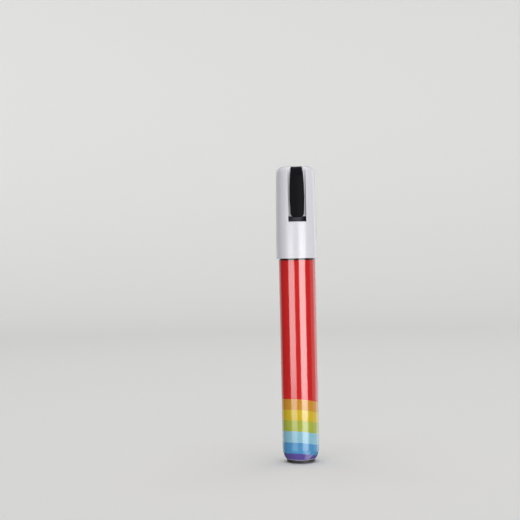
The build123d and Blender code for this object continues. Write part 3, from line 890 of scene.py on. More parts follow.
@dataclass(frozen=True)
class FrontUnit:
    """Nose cone and nib."""

    cone: Extent = field(default_factory=lambda: Extent.of("nose_cone"))
    nib: Extent = field(default_factory=lambda: Extent.of("nib"))
    mouth_z: float = field(default_factory=lambda: Extent.of("barrel").high)
    spigot_step: float = 1.25
    spigot_wall: float = 1.3
    spigot_land: float = 0.3
    flange: float = 1.5
    neck_step: float = 0.9
    neck_height: float = 5.0
    bead_proud: float = 0.25
    bead_height: float = 1.4
    bead_rise: float = 2.4
    shoulder: float = 6.0
    shoulder_wall: float = 1.6
    nib_gap: float = 0.08
    nib_neck_wall: float = 1.75
    point_length: float = 3.9
    tip_radius: float = 1.9
    rear_chamfer: float = 0.3

    def build_cone(self) -> bpy.types.Object:
        """Builds the front section: spigot, flange, neck with snap bead, sloping shoulder, nib neck.

        Returns:
            The new piece.
        """
        low, high = self.cone.low, self.cone.high
        flange_r, spigot = self.cone.radius, self.cone.radius - self.spigot_step
        bore = spigot - self.spigot_wall
        flange_z = self.mouth_z + self.flange
        neck_z = flange_z + self.neck_height
        shoulder_z = neck_z + self.shoulder
        bead_z, half = flange_z + self.bead_rise, self.bead_height / 2.0
        neck_r, nib_bore = flange_r - self.neck_step, self.nib.radius + self.nib_gap
        tip_r = nib_bore + self.nib_neck_wall
        profile = rounded(
            [
                Corner(bore + self.spigot_land, low),
                Corner(spigot, low, fillet=0.15),
                Corner(spigot, self.mouth_z, fillet=0.05),
                Corner(flange_r, self.mouth_z, fillet=0.12),
                Corner(flange_r, flange_z, fillet=0.15),
                Corner(neck_r, flange_z, fillet=0.12),
                Corner(neck_r, bead_z - half, fillet=0.5),
                Corner(neck_r + self.bead_proud, bead_z, fillet=1.2),
                Corner(neck_r, bead_z + half, fillet=0.5),
                Corner(neck_r, neck_z, fillet=2.4),
                Corner(tip_r, shoulder_z, fillet=1.0),
                Corner(tip_r, high, fillet=0.5),
                Corner(nib_bore, high, fillet=0.12),
                Corner(nib_bore, shoulder_z - self.shoulder_wall, fillet=0.4),
                Corner(bore, neck_z - self.shoulder_wall, fillet=0.6),
                Corner(bore, low, fillet=0.1),
                Corner(bore + self.spigot_land, low),
            ],
            steps=9,
        )
        return grid_piece("front_cone", lathe(profile[:-1]), True)

    def build_nib(self) -> bpy.types.Object:
        """Builds the nib: a rod with a bullet point.

        The tip is a circle of tip_radius on the axis. The side is a circle that leaves the rod upright
        and touches the tip's circle where the line through both centres, at the angle lean, leaves it.

        Returns:
            The new piece.
        """
        rod, low, tip = self.nib.radius, self.nib.low, self.tip_radius
        start_z, rise = self.nib.high - self.point_length, self.point_length - tip
        side = (rod**2 - tip**2 + rise**2) / (2.0 * (rod - tip))
        lean = math.atan2(rise, side - rod)
        foot = rounded(
            [
                Corner(0.0, low),
                Corner(rod - self.rear_chamfer, low, fillet=0.1),
                Corner(rod, low + self.rear_chamfer, fillet=0.1),
                Corner(rod, start_z),
            ]
        )
        flank = arc((rod - side, start_z), side, 0.0, lean, 16)
        round_tip = arc((0.0, self.nib.high - tip), tip, lean, math.pi / 2.0, 16)
        return grid_piece("bullet_nib", lathe(np.concatenate([foot[:-1], flank, round_tip[1:]])))

    def build(self) -> None:
        """Builds and dresses both pieces."""
        # White polypropylene: milky, with a soft gloss.
        white = MouldedPlastic("moulded_white_polypropylene_front", "#E9E9EA", roughness=0.38)
        seat(self.build_cone(), white, Body.BARREL_UNIT, "nose_cone")
        seat(self.build_nib(), PressedFibre(self.nib.high), Body.NIB_UNIT, "nib")


@dataclass(frozen=True)
class CapUnit:
    """Cap shell with its clip channel and slot, and the inner cap that seals the nib.

    The fields from rim_run on place the rows and columns of the shell's mesh. Those of the gate mark
    are shares of its radius, and flat_edge is a share of the flat top's.
    """

    shell: Extent = field(default_factory=lambda: Extent.of("cap_shell"))
    inner: Extent = field(default_factory=lambda: Extent.of("inner_cap"))
    clip_tip_z: float = field(default_factory=lambda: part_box("pocket_clip")[0].z / MM)
    rim_wall: float = 0.83
    rim_round: float = 0.25
    mouth_chamfer: float = 0.3
    taper: float = 0.68
    crown_round: float = 3.1
    crown_thickness: float = 3.2
    seat_rise: float = 5.5
    rib_rise: float = 0.8
    rib_radius: float = 8.21
    bore: float = 8.35
    socket_bore: float = 5.71
    socket_wall: float = 0.95
    socket_depth: float = 8.0
    channel_half: float = 4.355
    channel_floor: float = 7.7
    channel_back: float = 6.7
    wall_spread: float = 0.07
    floor_soft: float = 0.05
    sill_below: float = 0.28
    sill_above: float = 0.12
    slot_show: float = 1.85
    slot_overlap: float = 0.5
    groove_half: float = 2.86
    groove_top_half: float = 2.58
    groove_drop: float = 2.0
    groove_past: float = 2.0
    bead_setback: float = 4.0
    bead_hole: float = 1.05
    bead_drop: float = 1.4
    lip_reach: float = 0.6
    lip_thickness: float = 0.3
    gate_radius: float = 1.0
    gate_depth: float = 0.14
    gate_edge: tuple[float, float] = (0.75, 1.1)
    inner_wall: float = 1.0
    inner_top: float = 1.2
    inner_lip: float = 0.4
    inner_lip_height: float = 1.0
    rim_run: float = 0.9
    side_run: float = 1.0
    ramp_run: float = 1.0
    roof_run: float = 2.0
    roof_gap: float = 5.0
    slot_gap: float = 1.0
    bore_run: float = 8.0
    under_sill: float = 0.45
    over_slot: float = 0.4
    flat_edge: float = 0.93
    gate_gap: float = 1.5
    gate_band: tuple[float, float] = (1.25, 0.6)
    gate_middle: float = 0.3
    sill_rows: tuple[float, ...] = (-0.05, 0.01, 0.07, 0.3)
    sill_gap: float = 0.8
    slot_lip: float = 0.02
    floor_columns: tuple[float, ...] = (0.0, 0.8, 1.6, 2.4, 3.1, 3.6, 3.9)
    wall_reach: float = 0.26
    wall_columns: int = 13
    side_columns: tuple[float, ...] = (4.75, 4.95, 5.25)
    back_columns: int = 132
    hold_radius: float = 6.0

    @property
    def crown_z(self) -> float:
        """Height of the cap's top."""
        return self.shell.high

    @property
    def slot_z(self) -> np.ndarray:
        """Heights of the rows beside the slot, closest at its sill, up to just above its top.

        Returns:
            The heights, from the sill up.
        """
        low, top = self.clip_tip_z - self.slot_show, self.clip_tip_z + self.slot_overlap
        sill = low + np.array(self.sill_rows)
        return np.concatenate([sill, np.linspace(low + self.sill_gap, top, 5), [top + self.slot_lip]])

    def side_line(self) -> np.ndarray:
        """Outside of the cap from just above its rim to the middle of its crown.

        The side is an arc that stands upright at the rim and leans in by the taper at the top. The
        crown's round is a circle inside that arc, tangent to it and to the flat top. The gate mark is a
        shallow round dimple.

        Returns:
            Radius and height of each row.
        """
        rim, height = self.shell.radius, self.crown_z - self.shell.low
        sweep = (height**2 + self.taper**2) / (2.0 * self.taper)
        rise = height - self.crown_round
        round_r = rim - sweep + math.sqrt((sweep - self.crown_round) ** 2 - rise**2)
        lean = math.asin(rise / (sweep - self.crown_round))
        top_z = self.shell.low + sweep * math.sin(lean)
        slot, under, over = self.slot_z, self.under_sill, self.over_slot
        rows = np.concatenate(
            [
                np.linspace(self.shell.low + self.side_run, slot[0] - 2.0 * under, 12),
                np.linspace(slot[0] - under, slot[0], 11)[:-1],
                slot,
                [slot[-1] + over],
                np.linspace(slot[-1] + 3.0 * over, top_z - over / 2.0, 16),
            ]
        )
        side = np.column_stack([rim - sweep + np.sqrt(sweep**2 - (rows - self.shell.low) ** 2), rows])
        centre = (round_r, self.crown_z - self.crown_round)
        crown = arc(centre, self.crown_round, lean, math.pi / 2.0, 36)
        # Across the flat top the rows crowd together at the gate mark's edge.
        gate = self.gate_radius
        gate_rows = gate * np.concatenate([np.linspace(*self.gate_band, 8), [self.gate_middle, 0.0]])
        flat_rows = np.linspace(self.flat_edge * round_r, self.gate_gap * gate, 6)
        reach = np.concatenate([flat_rows, gate_rows])
        inside, outside = (share * gate for share in self.gate_edge)
        dimple = self.gate_depth * (1.0 - ease(inside, outside, reach))
        return np.concatenate([side, crown, np.column_stack([reach, self.crown_z - dimple])])

    def hollow_line(self) -> np.ndarray:
        """Inside of the cap from the middle of its roof, round the socket and down the bore.

        Returns:
            Radius and height of each row.
        """
        roof_z = self.crown_z - self.crown_thickness
        socket_z, socket_r = roof_z - self.socket_depth, self.socket_bore + self.socket_wall
        roof = rounded(
            [
                Corner(0.0, roof_z),
                Corner(self.socket_bore, roof_z, fillet=0.1),
                Corner(self.socket_bore, socket_z, fillet=0.1),
                Corner(socket_r, socket_z, fillet=0.1),
                Corner(socket_r, roof_z, fillet=0.1),
                Corner(self.bore, roof_z, fillet=0.3),
                Corner(self.bore, roof_z - self.roof_run),
            ],
            steps=5,
        )
        slot, gap = self.slot_z, self.slot_gap
        wall = np.concatenate(
            [
                np.linspace(roof_z - self.roof_gap, slot[-1] + gap, 5),
                slot[::-1],
                np.linspace(slot[0] - gap, self.shell.low + self.bore_run, 4),
            ]
        )
        return np.concatenate([roof, np.column_stack([np.full(len(wall), self.bore), wall])])

    def mouth_line(self) -> np.ndarray:
        """Mouth of the cap: ramp, snap rib, seat, mouth wall, chamfer and rim.

        Returns:
            Radius and height of each row.
        """
        rim_z, rim = self.shell.low, self.shell.radius
        seat_z = rim_z + self.seat_rise
        rib_z, mouth = seat_z + self.rib_rise, rim - self.rim_wall
        return rounded(
            [
                Corner(self.bore, rib_z + self.ramp_run),
                Corner(self.bore, rib_z + self.bore - self.rib_radius, fillet=0.15),
                Corner(self.rib_radius, rib_z, fillet=0.15),
                Corner(self.rib_radius, seat_z, fillet=0.08),
                Corner(mouth, seat_z, fillet=0.08),
                Corner(mouth, rim_z + self.mouth_chamfer, fillet=0.2),
                Corner(mouth + self.mouth_chamfer, rim_z, fillet=0.08),
                Corner(rim, rim_z, fillet=self.rim_round),
                Corner(rim, rim_z + self.rim_run),
            ],
            steps=8,
        )

    def columns(self) -> np.ndarray:
        """Distances across the front where the columns stand, closest at the channel's walls.

        Returns:
            The distances, from left to right.
        """
        wall = self.channel_half + np.linspace(-self.wall_reach, self.wall_reach, self.wall_columns)
        half = np.concatenate([self.floor_columns, wall, self.side_columns])
        return np.concatenate([-half[:0:-1], half])

    def spread(self, profile: np.ndarray, front: np.ndarray) -> np.ndarray:
        """Turns a profile with front columns at fixed distances across, the others spread round the back.

        A front column at distance x stands at the angle whose sine is x over the row's radius, or over
        the hold radius on smaller rows, so that the columns meet at the axis.

        Args:
            profile: radius and height of each row.
            front: distances across the front, in order.

        Returns:
            Grid of rows by columns by three coordinates.
        """
        ahead = np.arcsin(front / np.maximum(profile[:, :1], self.hold_radius))
        edge = ahead[:, -1:]
        share = np.linspace(0.0, 1.0, self.back_columns + 2)[1:-1]
        return lathe(profile, np.hstack([ahead, edge + share * (2.0 * math.pi - 2.0 * edge)]))

    def build_shell(self) -> bpy.types.Object:
        """Builds the cap as one closed skin, inside, rim and outside, with the slot through its wall.

        Outside, the channel moves each point back to the flat floor by its depth times an ease across the
        channel's wall and an ease above the sill. Inside, points above the slot stop at the floor's back.

        Returns:
            The new piece.
        """
        hollow, mouth, side = self.hollow_line(), self.mouth_line(), self.side_line()
        profile = np.concatenate([hollow, mouth, side])
        front, slot = self.columns(), self.slot_z
        grid = self.spread(profile, front)
        outer = (np.arange(len(profile)) >= len(hollow) + len(mouth))[:, None]

        across, height = np.abs(grid[..., 0]), grid[..., 2]
        ahead = grid[..., 1] < 0.0
        half, spread = self.channel_half, self.wall_spread / 2.0
        inside_walls = 1.0 - ease(half - spread, half + spread, across)
        above_sill = ease(slot[0] - self.sill_below, slot[0] + self.sill_above, height)
        depth = soft_positive(-self.channel_floor - grid[..., 1], self.floor_soft)
        grid[..., 1] += depth * inside_walls * above_sill * ahead * outer
        behind = ~outer & ahead & (height >= slot[-1])
        grid[..., 1] = np.where(behind, np.maximum(grid[..., 1], -self.channel_back), grid[..., 1])

        left, right = nearest(front, -half), nearest(front, half)
        sill_row = len(hollow) + len(mouth) + nearest(side[:, 1], slot[0])
        top_row = sill_row + len(slot) - 1
        back_top = nearest(hollow[:, 1], slot[-1])
        back_sill = back_top + len(slot) - 1
        gap = np.zeros(grid.shape[:2], bool)
        gap[sill_row:top_row, left:right] = True
        gap[back_top:back_sill, left:right] = True
        skin = Skin()
        index = skin.grid(grid, left_out=gap)

        def ring(rows: np.ndarray) -> np.ndarray:
            """Loop of points round the slot from the sill's left end.

            Args:
                rows: the rows beside the slot, from the sill up.

            Returns:
                The points' numbers.
            """
            sill, top = index[rows[0], left : right + 1], index[rows[-1], left : right + 1]
            edges = (sill, index[rows, right], top[::-1], index[rows[::-1], left])
            return np.concatenate([edge[:-1] for edge in edges])

        front_rows, back_rows = np.arange(sill_row, top_row + 1), np.arange(back_sill, back_top - 1, -1)
        skin.stitch(ring(front_rows), ring(back_rows))
        return self.grooved(skin.piece("cap_body"))

    def grooved(self, shell: bpy.types.Object) -> bpy.types.Object:
        """Cuts the clip's root groove into the crown: open above the clip's plate, roofed over its bead.

        The cutter is a side view carried across the cap, floor, bead's round, lip and open top, and
        narrows upwards as the clip does.

        Args:
            shell: the cap's shell.

        Returns:
            The same object, cut.
        """
        floor_z, top_z = self.crown_z - self.groove_drop, self.crown_z + self.groove_past
        bead_z, roof_z = self.crown_z - self.bead_drop, self.crown_z - self.lip_thickness
        ahead, lip = self.shell.radius + self.groove_past, self.bead_setback + self.lip_reach
        start = math.pi - math.asin((floor_z - bead_z) / self.bead_hole)
        bead = arc((-self.bead_setback, bead_z), self.bead_hole, start, 2.5 * math.pi, 25)
        mouth = [(-self.bead_setback, roof_z), (-lip, roof_z), (-lip, top_z), (-ahead, top_z)]
        line = np.concatenate([[(-ahead, floor_z)], bead, mouth])
        narrow = (self.groove_half - self.groove_top_half) / (self.crown_z - floor_z)
        half = self.groove_half - narrow * (line[:, 1] - floor_z)
        skin = Skin()
        left, right = skin.grid(np.stack([np.column_stack([side * half, line]) for side in (-1.0, 1.0)]))
        skin.cover(left[::-1])
        skin.cover(right)
        cutter = skin.piece("groove_cutter")
        cut = shell.modifiers.new("root_groove", "BOOLEAN")
        cut.operation, cut.solver, cut.object = "DIFFERENCE", "EXACT", cutter
        bpy.context.view_layer.update()
        whole = shell.evaluated_get(bpy.context.evaluated_depsgraph_get())
        carved = bpy.data.meshes.new_from_object(whole)
        shell.modifiers.clear()
        shell.data = carved
        bpy.data.objects.remove(cutter)
        shade_by_area(carved)
        return shell

    def build_inner(self) -> bpy.types.Object:
        """Builds the sealing cup: closed top, straight wall and a lip at its mouth.

        Returns:
            The new piece.
        """
        low, high, lip = self.inner.low, self.inner.high, self.inner.radius
        body, lip_z = lip - self.inner_lip, low + self.inner_lip_height
        bore, roof_z = body - self.inner_wall, high - self.inner_top
        profile = rounded(
            [
                Corner(0.0, high),
                Corner(body, high, fillet=0.15),
                Corner(body, lip_z, fillet=0.1),
                Corner(lip, lip_z, fillet=0.15),
                Corner(lip, low, fillet=0.25),
                Corner(bore, low, fillet=0.25),
                Corner(bore, roof_z, fillet=0.8),
                Corner(0.0, roof_z),
            ]
        )
        return grid_piece("sealing_cup", lathe(profile))

    def build(self) -> None:
        """Builds and dresses both pieces."""
        # ABS from a fine-polished mould: clean white, with a soft gloss and hardly any grain.
        white = MouldedPlastic(
            "moulded_white_abs",
            "#E3E2E8",
            roughness=0.19,
            ior=1.54,
            specular=0.35,
            grain_depth_mm=0.0012,
        )
        # Waxy polyethylene, which looks dark and dull through the slot.
        dark = MouldedPlastic("moulded_black_polyethylene_cup", "#43434B", roughness=0.7)
        seat(self.build_shell(), white, Body.CAP, "cap_shell")
        seat(self.build_inner(), dark, Body.CAP, "inner_cap")


@dataclass(frozen=True)
class PocketClip:
    """Black clip: a bowed arm with a facet at its bend, a plate over the crown and a round root bead."""

    crown_z: float = field(default_factory=lambda: Extent.of("cap_shell").high)
    tip_z: float = field(default_factory=lambda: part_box("pocket_clip")[0].z / MM)
    top_z: float = field(default_factory=lambda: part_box("pocket_clip")[1].z / MM)
    face: float = field(default_factory=lambda: -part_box("pocket_clip")[0].y / MM)
    half_widest: float = field(default_factory=lambda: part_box("pocket_clip")[1].x / MM)
    half_tip: float = 3.12
    half_bend: float = 3.08
    half_top: float = 2.45
    widest_share: float = 0.35
    length: float = 25.05
    crown_round: float = 3.1
    arm: float = 1.6
    plate: float = 1.3
    crease_drop: float = 4.4
    crease_round: float = 1.2
    facet_deg: float = 20.0
    facet_round: float = 2.2
    inner_crease_rise: float = 1.2
    bump_proud: float = 0.6
    bump_length: float = 4.4
    bump_crest: tuple[float, float] = (0.3, 0.6)
    tip_middle: float = 0.5
    tip_round: float = 0.8
    corner_round: float = 2.0
    edge_round: float = 0.38
    edge_share: float = 0.45
    bow_margin: float = 0.5
    bead_setback: float = 4.0
    bead: float = 1.0
    bend_below: float = 0.8
    corner_rows: int = 14
    arm_rows: int = 34
    bend_rows: int = 64

    def half_width(self, height: np.ndarray) -> np.ndarray:
        """Half of the clip's width at a height.

        A parabola through the tip, the widest place and the bend, a straight taper above the bend, and at
        the tip a quarter circle that rounds the corner.

        Args:
            height: heights of the rows.

        Returns:
            Half widths.
        """
        bend_z = self.crown_z - self.crown_round
        rises = [0.0, self.widest_share * self.length, bend_z - self.tip_z]
        bow = np.polyfit(rises, [self.half_tip, self.half_widest, self.half_bend], 2)
        arm = np.polyval(bow, height - self.tip_z)
        narrow = (self.half_top - self.half_bend) / (self.crown_z - bend_z)
        top = self.half_bend + narrow * (height - bend_z)
        lack = np.clip(1.0 - (height - self.tip_z) / self.corner_round, 0.0, 1.0)
        corner = self.corner_round * (1.0 - np.sqrt(1.0 - lack**2))
        return np.where(height < bend_z, arm, top) - corner

    def stationed(self, line: np.ndarray, levels: np.ndarray) -> np.ndarray:
        """Sets a side line's points anew, so that the two side lines pair row by row.

        Args:
            line: distance forwards and height of each point, from the tip up and over to the bead.
            levels: heights of the rows up the arm; the bend above them gets even steps.

        Returns:
            The new points.
        """
        rising = line[: np.argmax(line[:, 1]) + 1]
        arm = np.column_stack([np.interp(levels, rising[:, 1], rising[:, 0]), levels])
        bend = np.concatenate([arm[-1:], line[line[:, 1] > levels[-1]]])
        return np.concatenate([arm, resampled(bend, self.bend_rows)[1:]])

    def side_lines(self) -> tuple[np.ndarray, np.ndarray]:
        """Outer and inner line of the side view, as distance forwards and height, from tip to bead.

        Returns:
            The two lines, paired row by row.
        """
        crease_z, bead_z = self.top_z - self.crease_drop, self.top_z - self.bead
        inner, under = self.face - self.arm, self.top_z - self.plate
        turn_z, bump = crease_z + self.inner_crease_rise, inner - self.bump_proud
        slope = math.tan(math.radians(self.facet_deg))
        bead = (self.bead_setback, bead_z)
        over = arc(bead, self.bead, math.pi / 2.0, math.pi, 9)
        below = arc(bead, self.bead, math.asin((under - bead_z) / self.bead), -math.pi, 17)
        crest_low, crest_high = (self.tip_z + share * self.bump_length for share in self.bump_crest)
        start = Corner(inner + self.tip_middle, self.tip_z)
        outer_line = rounded(
            [
                start,
                Corner(self.face, self.tip_z, fillet=self.tip_round),
                Corner(self.face, crease_z, fillet=self.crease_round),
                Corner(self.face - self.crease_drop * slope, self.top_z, fillet=self.facet_round),
                Corner(self.bead_setback, self.top_z),
            ],
            steps=12,
        )
        inner_line = rounded(
            [
                start,
                Corner(inner, self.tip_z, fillet=0.3),
                Corner(bump, crest_low, fillet=0.8),
                Corner(bump, crest_high, fillet=0.8),
                Corner(inner, self.tip_z + self.bump_length, fillet=4.0),
                Corner(inner, turn_z, fillet=2.0),
                Corner(inner - (under - turn_z) * slope, under, fillet=0.7),
                Corner(below[0, 0], under),
            ],
            steps=8,
        )
        quarter = np.linspace(0.0, math.pi / 2.0, self.corner_rows)
        corner = self.tip_z + self.corner_round * (1.0 - np.cos(quarter))
        arm = np.linspace(corner[-1], crease_z - self.bend_below, self.arm_rows)
        levels = np.concatenate([corner, arm[1:]])
        back = np.array([[self.bead_setback - self.bead, bead_z]])
        whole = (np.concatenate([outer_line[1:], over[1:]]), np.concatenate([inner_line[1:], below[1:]]))
        outer, inner = (np.concatenate([self.stationed(line, levels), back]) for line in whole)
        return outer, inner

    def section(self, flats: int = 14, arcs: int = 6) -> np.ndarray:
        """Loop of a rounded bar: shares of the half width and half depth, and the arc's two parts.

        Args:
            flats: points on each long side.
            arcs: points on each corner.

        Returns:
            Four numbers for each point of the loop.
        """
        run = np.linspace(-1.0, 1.0, flats)
        loop = [np.column_stack([run, np.ones(flats), np.zeros(flats), np.ones(flats)])]
        for deep, start in ((1.0, math.pi / 2.0), (-1.0, 0.0)):
            turn = arc((0.0, 0.0), 1.0, start, start - math.pi / 2.0, arcs)
            loop.append(np.column_stack([np.ones(arcs), np.full(arcs, deep), turn]))
        right = np.concatenate(loop)
        return np.concatenate([right, -right])

    def build_clip(self) -> bpy.types.Object:
        """Builds the clip: a rounded bar carried between the two side lines.

        A point's depth runs from the inner line to the outer one. The outer face also bows back across
        the width, by the drop of a circle about the marker's axis, as far as the depth points forwards.

        Returns:
            The new piece.
        """
        outer, inner = self.side_lines()
        outer = np.concatenate([(outer[:1] + inner[:1]) / 2.0, outer])
        inner = np.concatenate([outer[:1], inner])
        step = outer - inner
        thick = np.linalg.norm(step, axis=1)[:, None]
        half = self.half_width(outer[:, 1])[:, None]
        edge = np.minimum(self.edge_round, self.edge_share * thick)
        wide, deep, arc_wide, arc_deep = self.section().T
        across = wide * (half - edge) + arc_wide * edge
        depth = thick / 2.0 + deep * (thick / 2.0 - edge) + arc_deep * edge
        share = depth / np.maximum(thick, TINY)
        forward = inner[:, :1] + share * step[:, :1]
        height = inner[:, 1:] + share * step[:, 1:]
        facing = np.clip(step[:, :1] / np.maximum(thick, TINY), 0.0, 1.0)
        ring = np.maximum(outer[:, :1], self.half_widest + self.bow_margin)
        forward = forward - share * facing * (ring - np.sqrt(ring**2 - across**2))
        return grid_piece("clip_bar", np.stack([across, -forward, height], axis=-1))

    def build(self) -> None:
        """Builds and dresses the clip."""
        # ABS from an etched mould: deep black and satin, with hardly a highlight.
        black = MouldedPlastic(
            "moulded_black_abs", "#131217", roughness=0.5, specular=0.06, grain_mm=0.35
        )
        seat(self.build_clip(), black, Body.CLIP, "pocket_clip")


@dataclass(frozen=True)
class ValveSpring:
    """Wire spring that pushes the valve stem up, and shortens as the nib is pressed."""

    room: Extent = field(default_factory=lambda: Extent.of("valve_spring"))
    joint: str = "nib_press"
    wire: float = 0.25
    turns: int = 5
    steps: int = 64
    sides: int = 16
    end_girth: float = 0.9

    def build_coil(self) -> bpy.types.Object:
        """Builds the coil: a circle carried along a helix, its ends drawn in to a point on the cut face.

        The helix is (c cos a, c sin a, foot + k a). At each angle the circle lies across the path,
        between the direction away from the axis and (k sin a, -k cos a, c) over its length.

        Returns:
            The new piece.
        """
        coil = self.room.radius - self.wire
        whole = 2.0 * math.pi * self.turns
        rise = (self.room.high - self.room.low - 2.0 * self.wire) / whole
        run = np.linspace(0.0, whole, self.turns * self.steps + 1)
        turn = np.concatenate([run[[0, 0]], run, run[[-1, -1]]])[:, None]
        girth = np.ones_like(turn)
        girth[[0, -1]] = 0.0
        girth[[1, -2]] = self.end_girth
        round_wire = even_turn(self.sides)
        length = math.hypot(coil, rise)
        away = coil + self.wire * girth * np.cos(round_wire)
        side = self.wire * girth * np.sin(round_wire) / length
        x = away * np.cos(turn) + side * rise * np.sin(turn)
        y = away * np.sin(turn) - side * rise * np.cos(turn)
        z = self.room.low + self.wire + rise * turn + side * coil
        return grid_piece("valve_coil", np.stack([x, y, z], axis=-1))

    def build(self) -> None:
        """Builds and dresses the spring, and gives the coil a mesh of its own."""
        coil = self.build_coil()
        # Drawn stainless wire: grey, with a soft metal sheen.
        wire = Steel("drawn_stainless_wire", "#C9C9CB", roughness=0.3, mark_mm=0.4)
        seat(coil, wire, Body.BARREL_UNIT, "valve_spring")
        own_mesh(coil)


@dataclass(frozen=True)
class InnerWorks:
    """Valve and mixing ball, which keep their CAD meshes."""

    # Polypropylene without a dye: milky and a little grey, with a soft gloss.
    natural: MouldedPlastic = MouldedPlastic("moulded_natural_polypropylene", "#E1E2DE", roughness=0.4)
    # Nitrile rubber: nearly black and dull, with a deeper grain.
    rubber: MouldedPlastic = MouldedPlastic(
        "moulded_nitrile_rubber", "#232323", roughness=0.75, grain_depth_mm=0.008
    )
    # Tumbled stainless steel: bright, with reflections that are a little soft.
    tumbled: Steel = Steel("tumbled_stainless_steel", "#D2D2D3", roughness=0.18, mark_mm=1.5)

    def build(self) -> None:
        """Dresses the CAD nodes."""
        finishes: dict[str, Finish] = {
            "valve_housing": self.natural,
            "valve_stem": self.natural,
            "valve_cage": self.natural,
            "valve_seal": self.rubber,
            "mixing_ball": self.tumbled,
        }
        for node, finish in finishes.items():
            dress(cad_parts[node], finish)
            LOG.info("%s: CAD mesh, %s", node, finish.name)


@dataclass(frozen=True)
class Softbox:
    """Rectangular light at a bearing right of the camera, facing the marker, dimmer at its lower edge.

    Its brightness grows from the foot's share at the lower edge to the whole over the fade's share of
    its height. It can be kept to diffuse light or to reflections alone.
    """

    name: str
    bearing: float
    width: float
    low: float
    high: float
    radiance: float
    foot: float = 1.0
    fade: float = 0.5
    diffuse: bool = True
    glossy: bool = True
    distance: float = 3000.0

    def hang(self, spot: Vector, aim: Vector) -> None:
        """Adds the light.

        Args:
            spot: its middle.
            aim: the point that it faces.
        """
        width, height = self.width * MM, (self.high - self.low) * MM
        lamp = bpy.data.lights.new(self.name, "AREA")
        lamp.shape = "RECTANGLE"
        lamp.size, lamp.size_y = width, height
        lamp.energy = self.radiance * LAMP_POWER * width * height
        lamp.use_nodes = True
        glow = NodeTree(lamp.node_tree)
        face = glow.add(Kind.GEOMETRY, {})
        place = glow.add(Kind.SPLIT, {0: face.outputs["Parametric"]})
        fade = glow.add(
            Kind.RANGE, {"Value": place.outputs["Y"], "From Max": self.fade, "To Min": self.foot}
        )
        glow.feed(glow.tree.nodes["Emission"], {"Strength": fade})
        light = bpy.data.objects.new(self.name, lamp)
        light.location = spot * MM
        light.rotation_euler = (aim - spot).to_track_quat("-Z", "Y").to_euler()
        light.visible_camera = False
        light.visible_diffuse, light.visible_glossy = self.diffuse, self.glossy
        bpy.context.scene.collection.objects.link(light)

    def stand(self, azimuth: float) -> None:
        """Stands the light upright at its bearing.

        Args:
            azimuth: the camera's azimuth.
        """
        turn = math.radians(azimuth + self.bearing)
        middle = (self.low + self.high) / 2.0
        spot = Vector((self.distance * math.sin(turn), -self.distance * math.cos(turn), middle))
        self.hang(spot, Vector((0.0, 0.0, middle)))


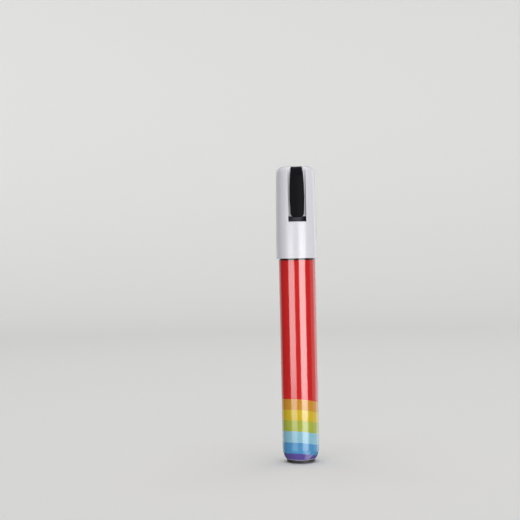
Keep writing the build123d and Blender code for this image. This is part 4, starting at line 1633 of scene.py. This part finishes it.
@dataclass(frozen=True)
class Studio:
    """Pale floor and backdrop, soft lights and the camera.

    The focal length is in pixels of a square picture. A softbox is given by its name, bearing, width,
    lower and upper edge and brightness.
    """

    azimuth: float = -2.2
    roll: float = 1.2
    eye_height: float = 99.2
    eye_distance: float = 557.0
    eye_aside: float = 18.22
    focal_px: float = 1129.5
    picture_px: float = 520.0
    sensor: float = 36.0
    near_clip: float = 10.0
    softboxes: tuple[Softbox, ...] = (
        Softbox("left_softbox", -39.5, 2100.0, -550.0, 220.0, 5.3, foot=0.05, fade=0.4),
        Softbox("right_softbox", 29.5, 2130.0, -550.0, 280.0, 7.4, foot=0.4, fade=0.34),
        Softbox("right_reflector", 38.0, 2400.0, -2100.0, -720.0, 2.0, diffuse=False),
        Softbox("low_reflector", 64.0, 3600.0, -6500.0, -2100.0, 1.9, diffuse=False),
        Softbox("front_fill", 6.0, 3000.0, -900.0, 1500.0, 0.58, glossy=False),
        Softbox("back_fill", 180.0, 3000.0, -900.0, 1500.0, 0.5, glossy=False),
        Softbox("right_fill", 110.0, 2700.0, -900.0, 1300.0, 0.6),
        Softbox("right_back_fill", 140.0, 2200.0, -900.0, 1300.0, 0.8),
        Softbox("left_back_fill", -150.0, 2200.0, -900.0, 1300.0, 0.5),
    )
    top_size: float = 2400.0
    top_height: float = 2400.0
    top_aim: float = 1.0
    top_radiance: float = 1.9
    surround: float = 0.12
    floor_drop: float = 0.05
    bowl_floor: float = 1000.0
    bowl_turn: float = 800.0
    bowl_height: float = 2200.0
    bowl_columns: int = 96

    def build_camera(self) -> None:
        """Puts the camera at the photograph's viewing angle: level, slightly from the left and rolled."""
        turn, roll = math.radians(self.azimuth), math.radians(self.roll)
        right, up = Vector((math.cos(turn), math.sin(turn), 0.0)), Vector((0.0, 0.0, 1.0))
        back = Vector((math.sin(turn), -math.cos(turn), 0.0))
        across = math.cos(roll) * right - math.sin(roll) * up
        upright = math.sin(roll) * right + math.cos(roll) * up
        spot = self.eye_height * up - self.eye_aside * across + self.eye_distance * back
        lens = bpy.data.cameras.new("photo_camera")
        lens.sensor_width = self.sensor
        lens.lens = self.focal_px / self.picture_px * self.sensor
        lens.clip_start = self.near_clip * MM
        camera = bpy.data.objects.new("photo_camera", lens)
        turned = Matrix((across, upright, back)).transposed().to_4x4()
        camera.matrix_world = Matrix.Translation(spot * MM) @ turned
        bpy.context.scene.collection.objects.link(camera)
        bpy.context.scene.camera = camera

    def build_lights(self) -> None:
        """Adds the softboxes, the light above and an even surrounding."""
        for box in self.softboxes:
            box.stand(self.azimuth)
        lid = Softbox("top_light", 0.0, self.top_size, 0.0, self.top_size, self.top_radiance)
        lid.hang(Vector((0.0, 0.0, self.top_height)), Vector((0.0, self.top_aim, 0.0)))
        scene = bpy.context.scene
        scene.world = scene.world or bpy.data.worlds.new("surroundings")
        scene.world.use_nodes = True
        around = NodeTree(scene.world.node_tree)
        sky = around.tree.nodes["Background"]
        around.feed(sky, {"Color": linear("#FFFFFF"), "Strength": self.surround})
        scene.view_settings.view_transform = "Standard"

    def build_backdrop(self) -> None:
        """Adds a seamless bowl of paper: a round floor that turns up into a wall on every side.

        The side view is rounded at the turn and carried round the axis. Reflections and light pass it, so
        that the softboxes stand behind it and light the marker evenly down to its foot.
        """
        reach = self.bowl_floor + self.bowl_turn
        line = rounded(
            [
                Corner(0.0, -self.floor_drop),
                Corner(reach, -self.floor_drop, fillet=self.bowl_turn),
                Corner(reach, self.bowl_height),
            ],
            steps=40,
        )
        bowl = grid_piece("paper_bowl", lathe(line, even_turn(self.bowl_columns)))
        dress(bowl, Paper())
        bowl.visible_glossy = False
        bowl.visible_diffuse = False
        bowl.visible_shadow = False

    def build(self) -> None:
        """Sets up the whole studio."""
        self.build_camera()
        self.build_lights()
        self.build_backdrop()
        LOG.info("studio: %d softboxes", len(self.softboxes))


def main() -> None:
    """Builds the studio and every piece, in order."""
    logging.basicConfig(level=logging.INFO, format="%(name)s: %(message)s")
    units = (BarrelUnit(), FrontUnit(), CapUnit(), PocketClip(), ValveSpring(), InnerWorks())
    for part in (Studio(), *units):
        part.build()


if __name__ == "__main__":
    main()
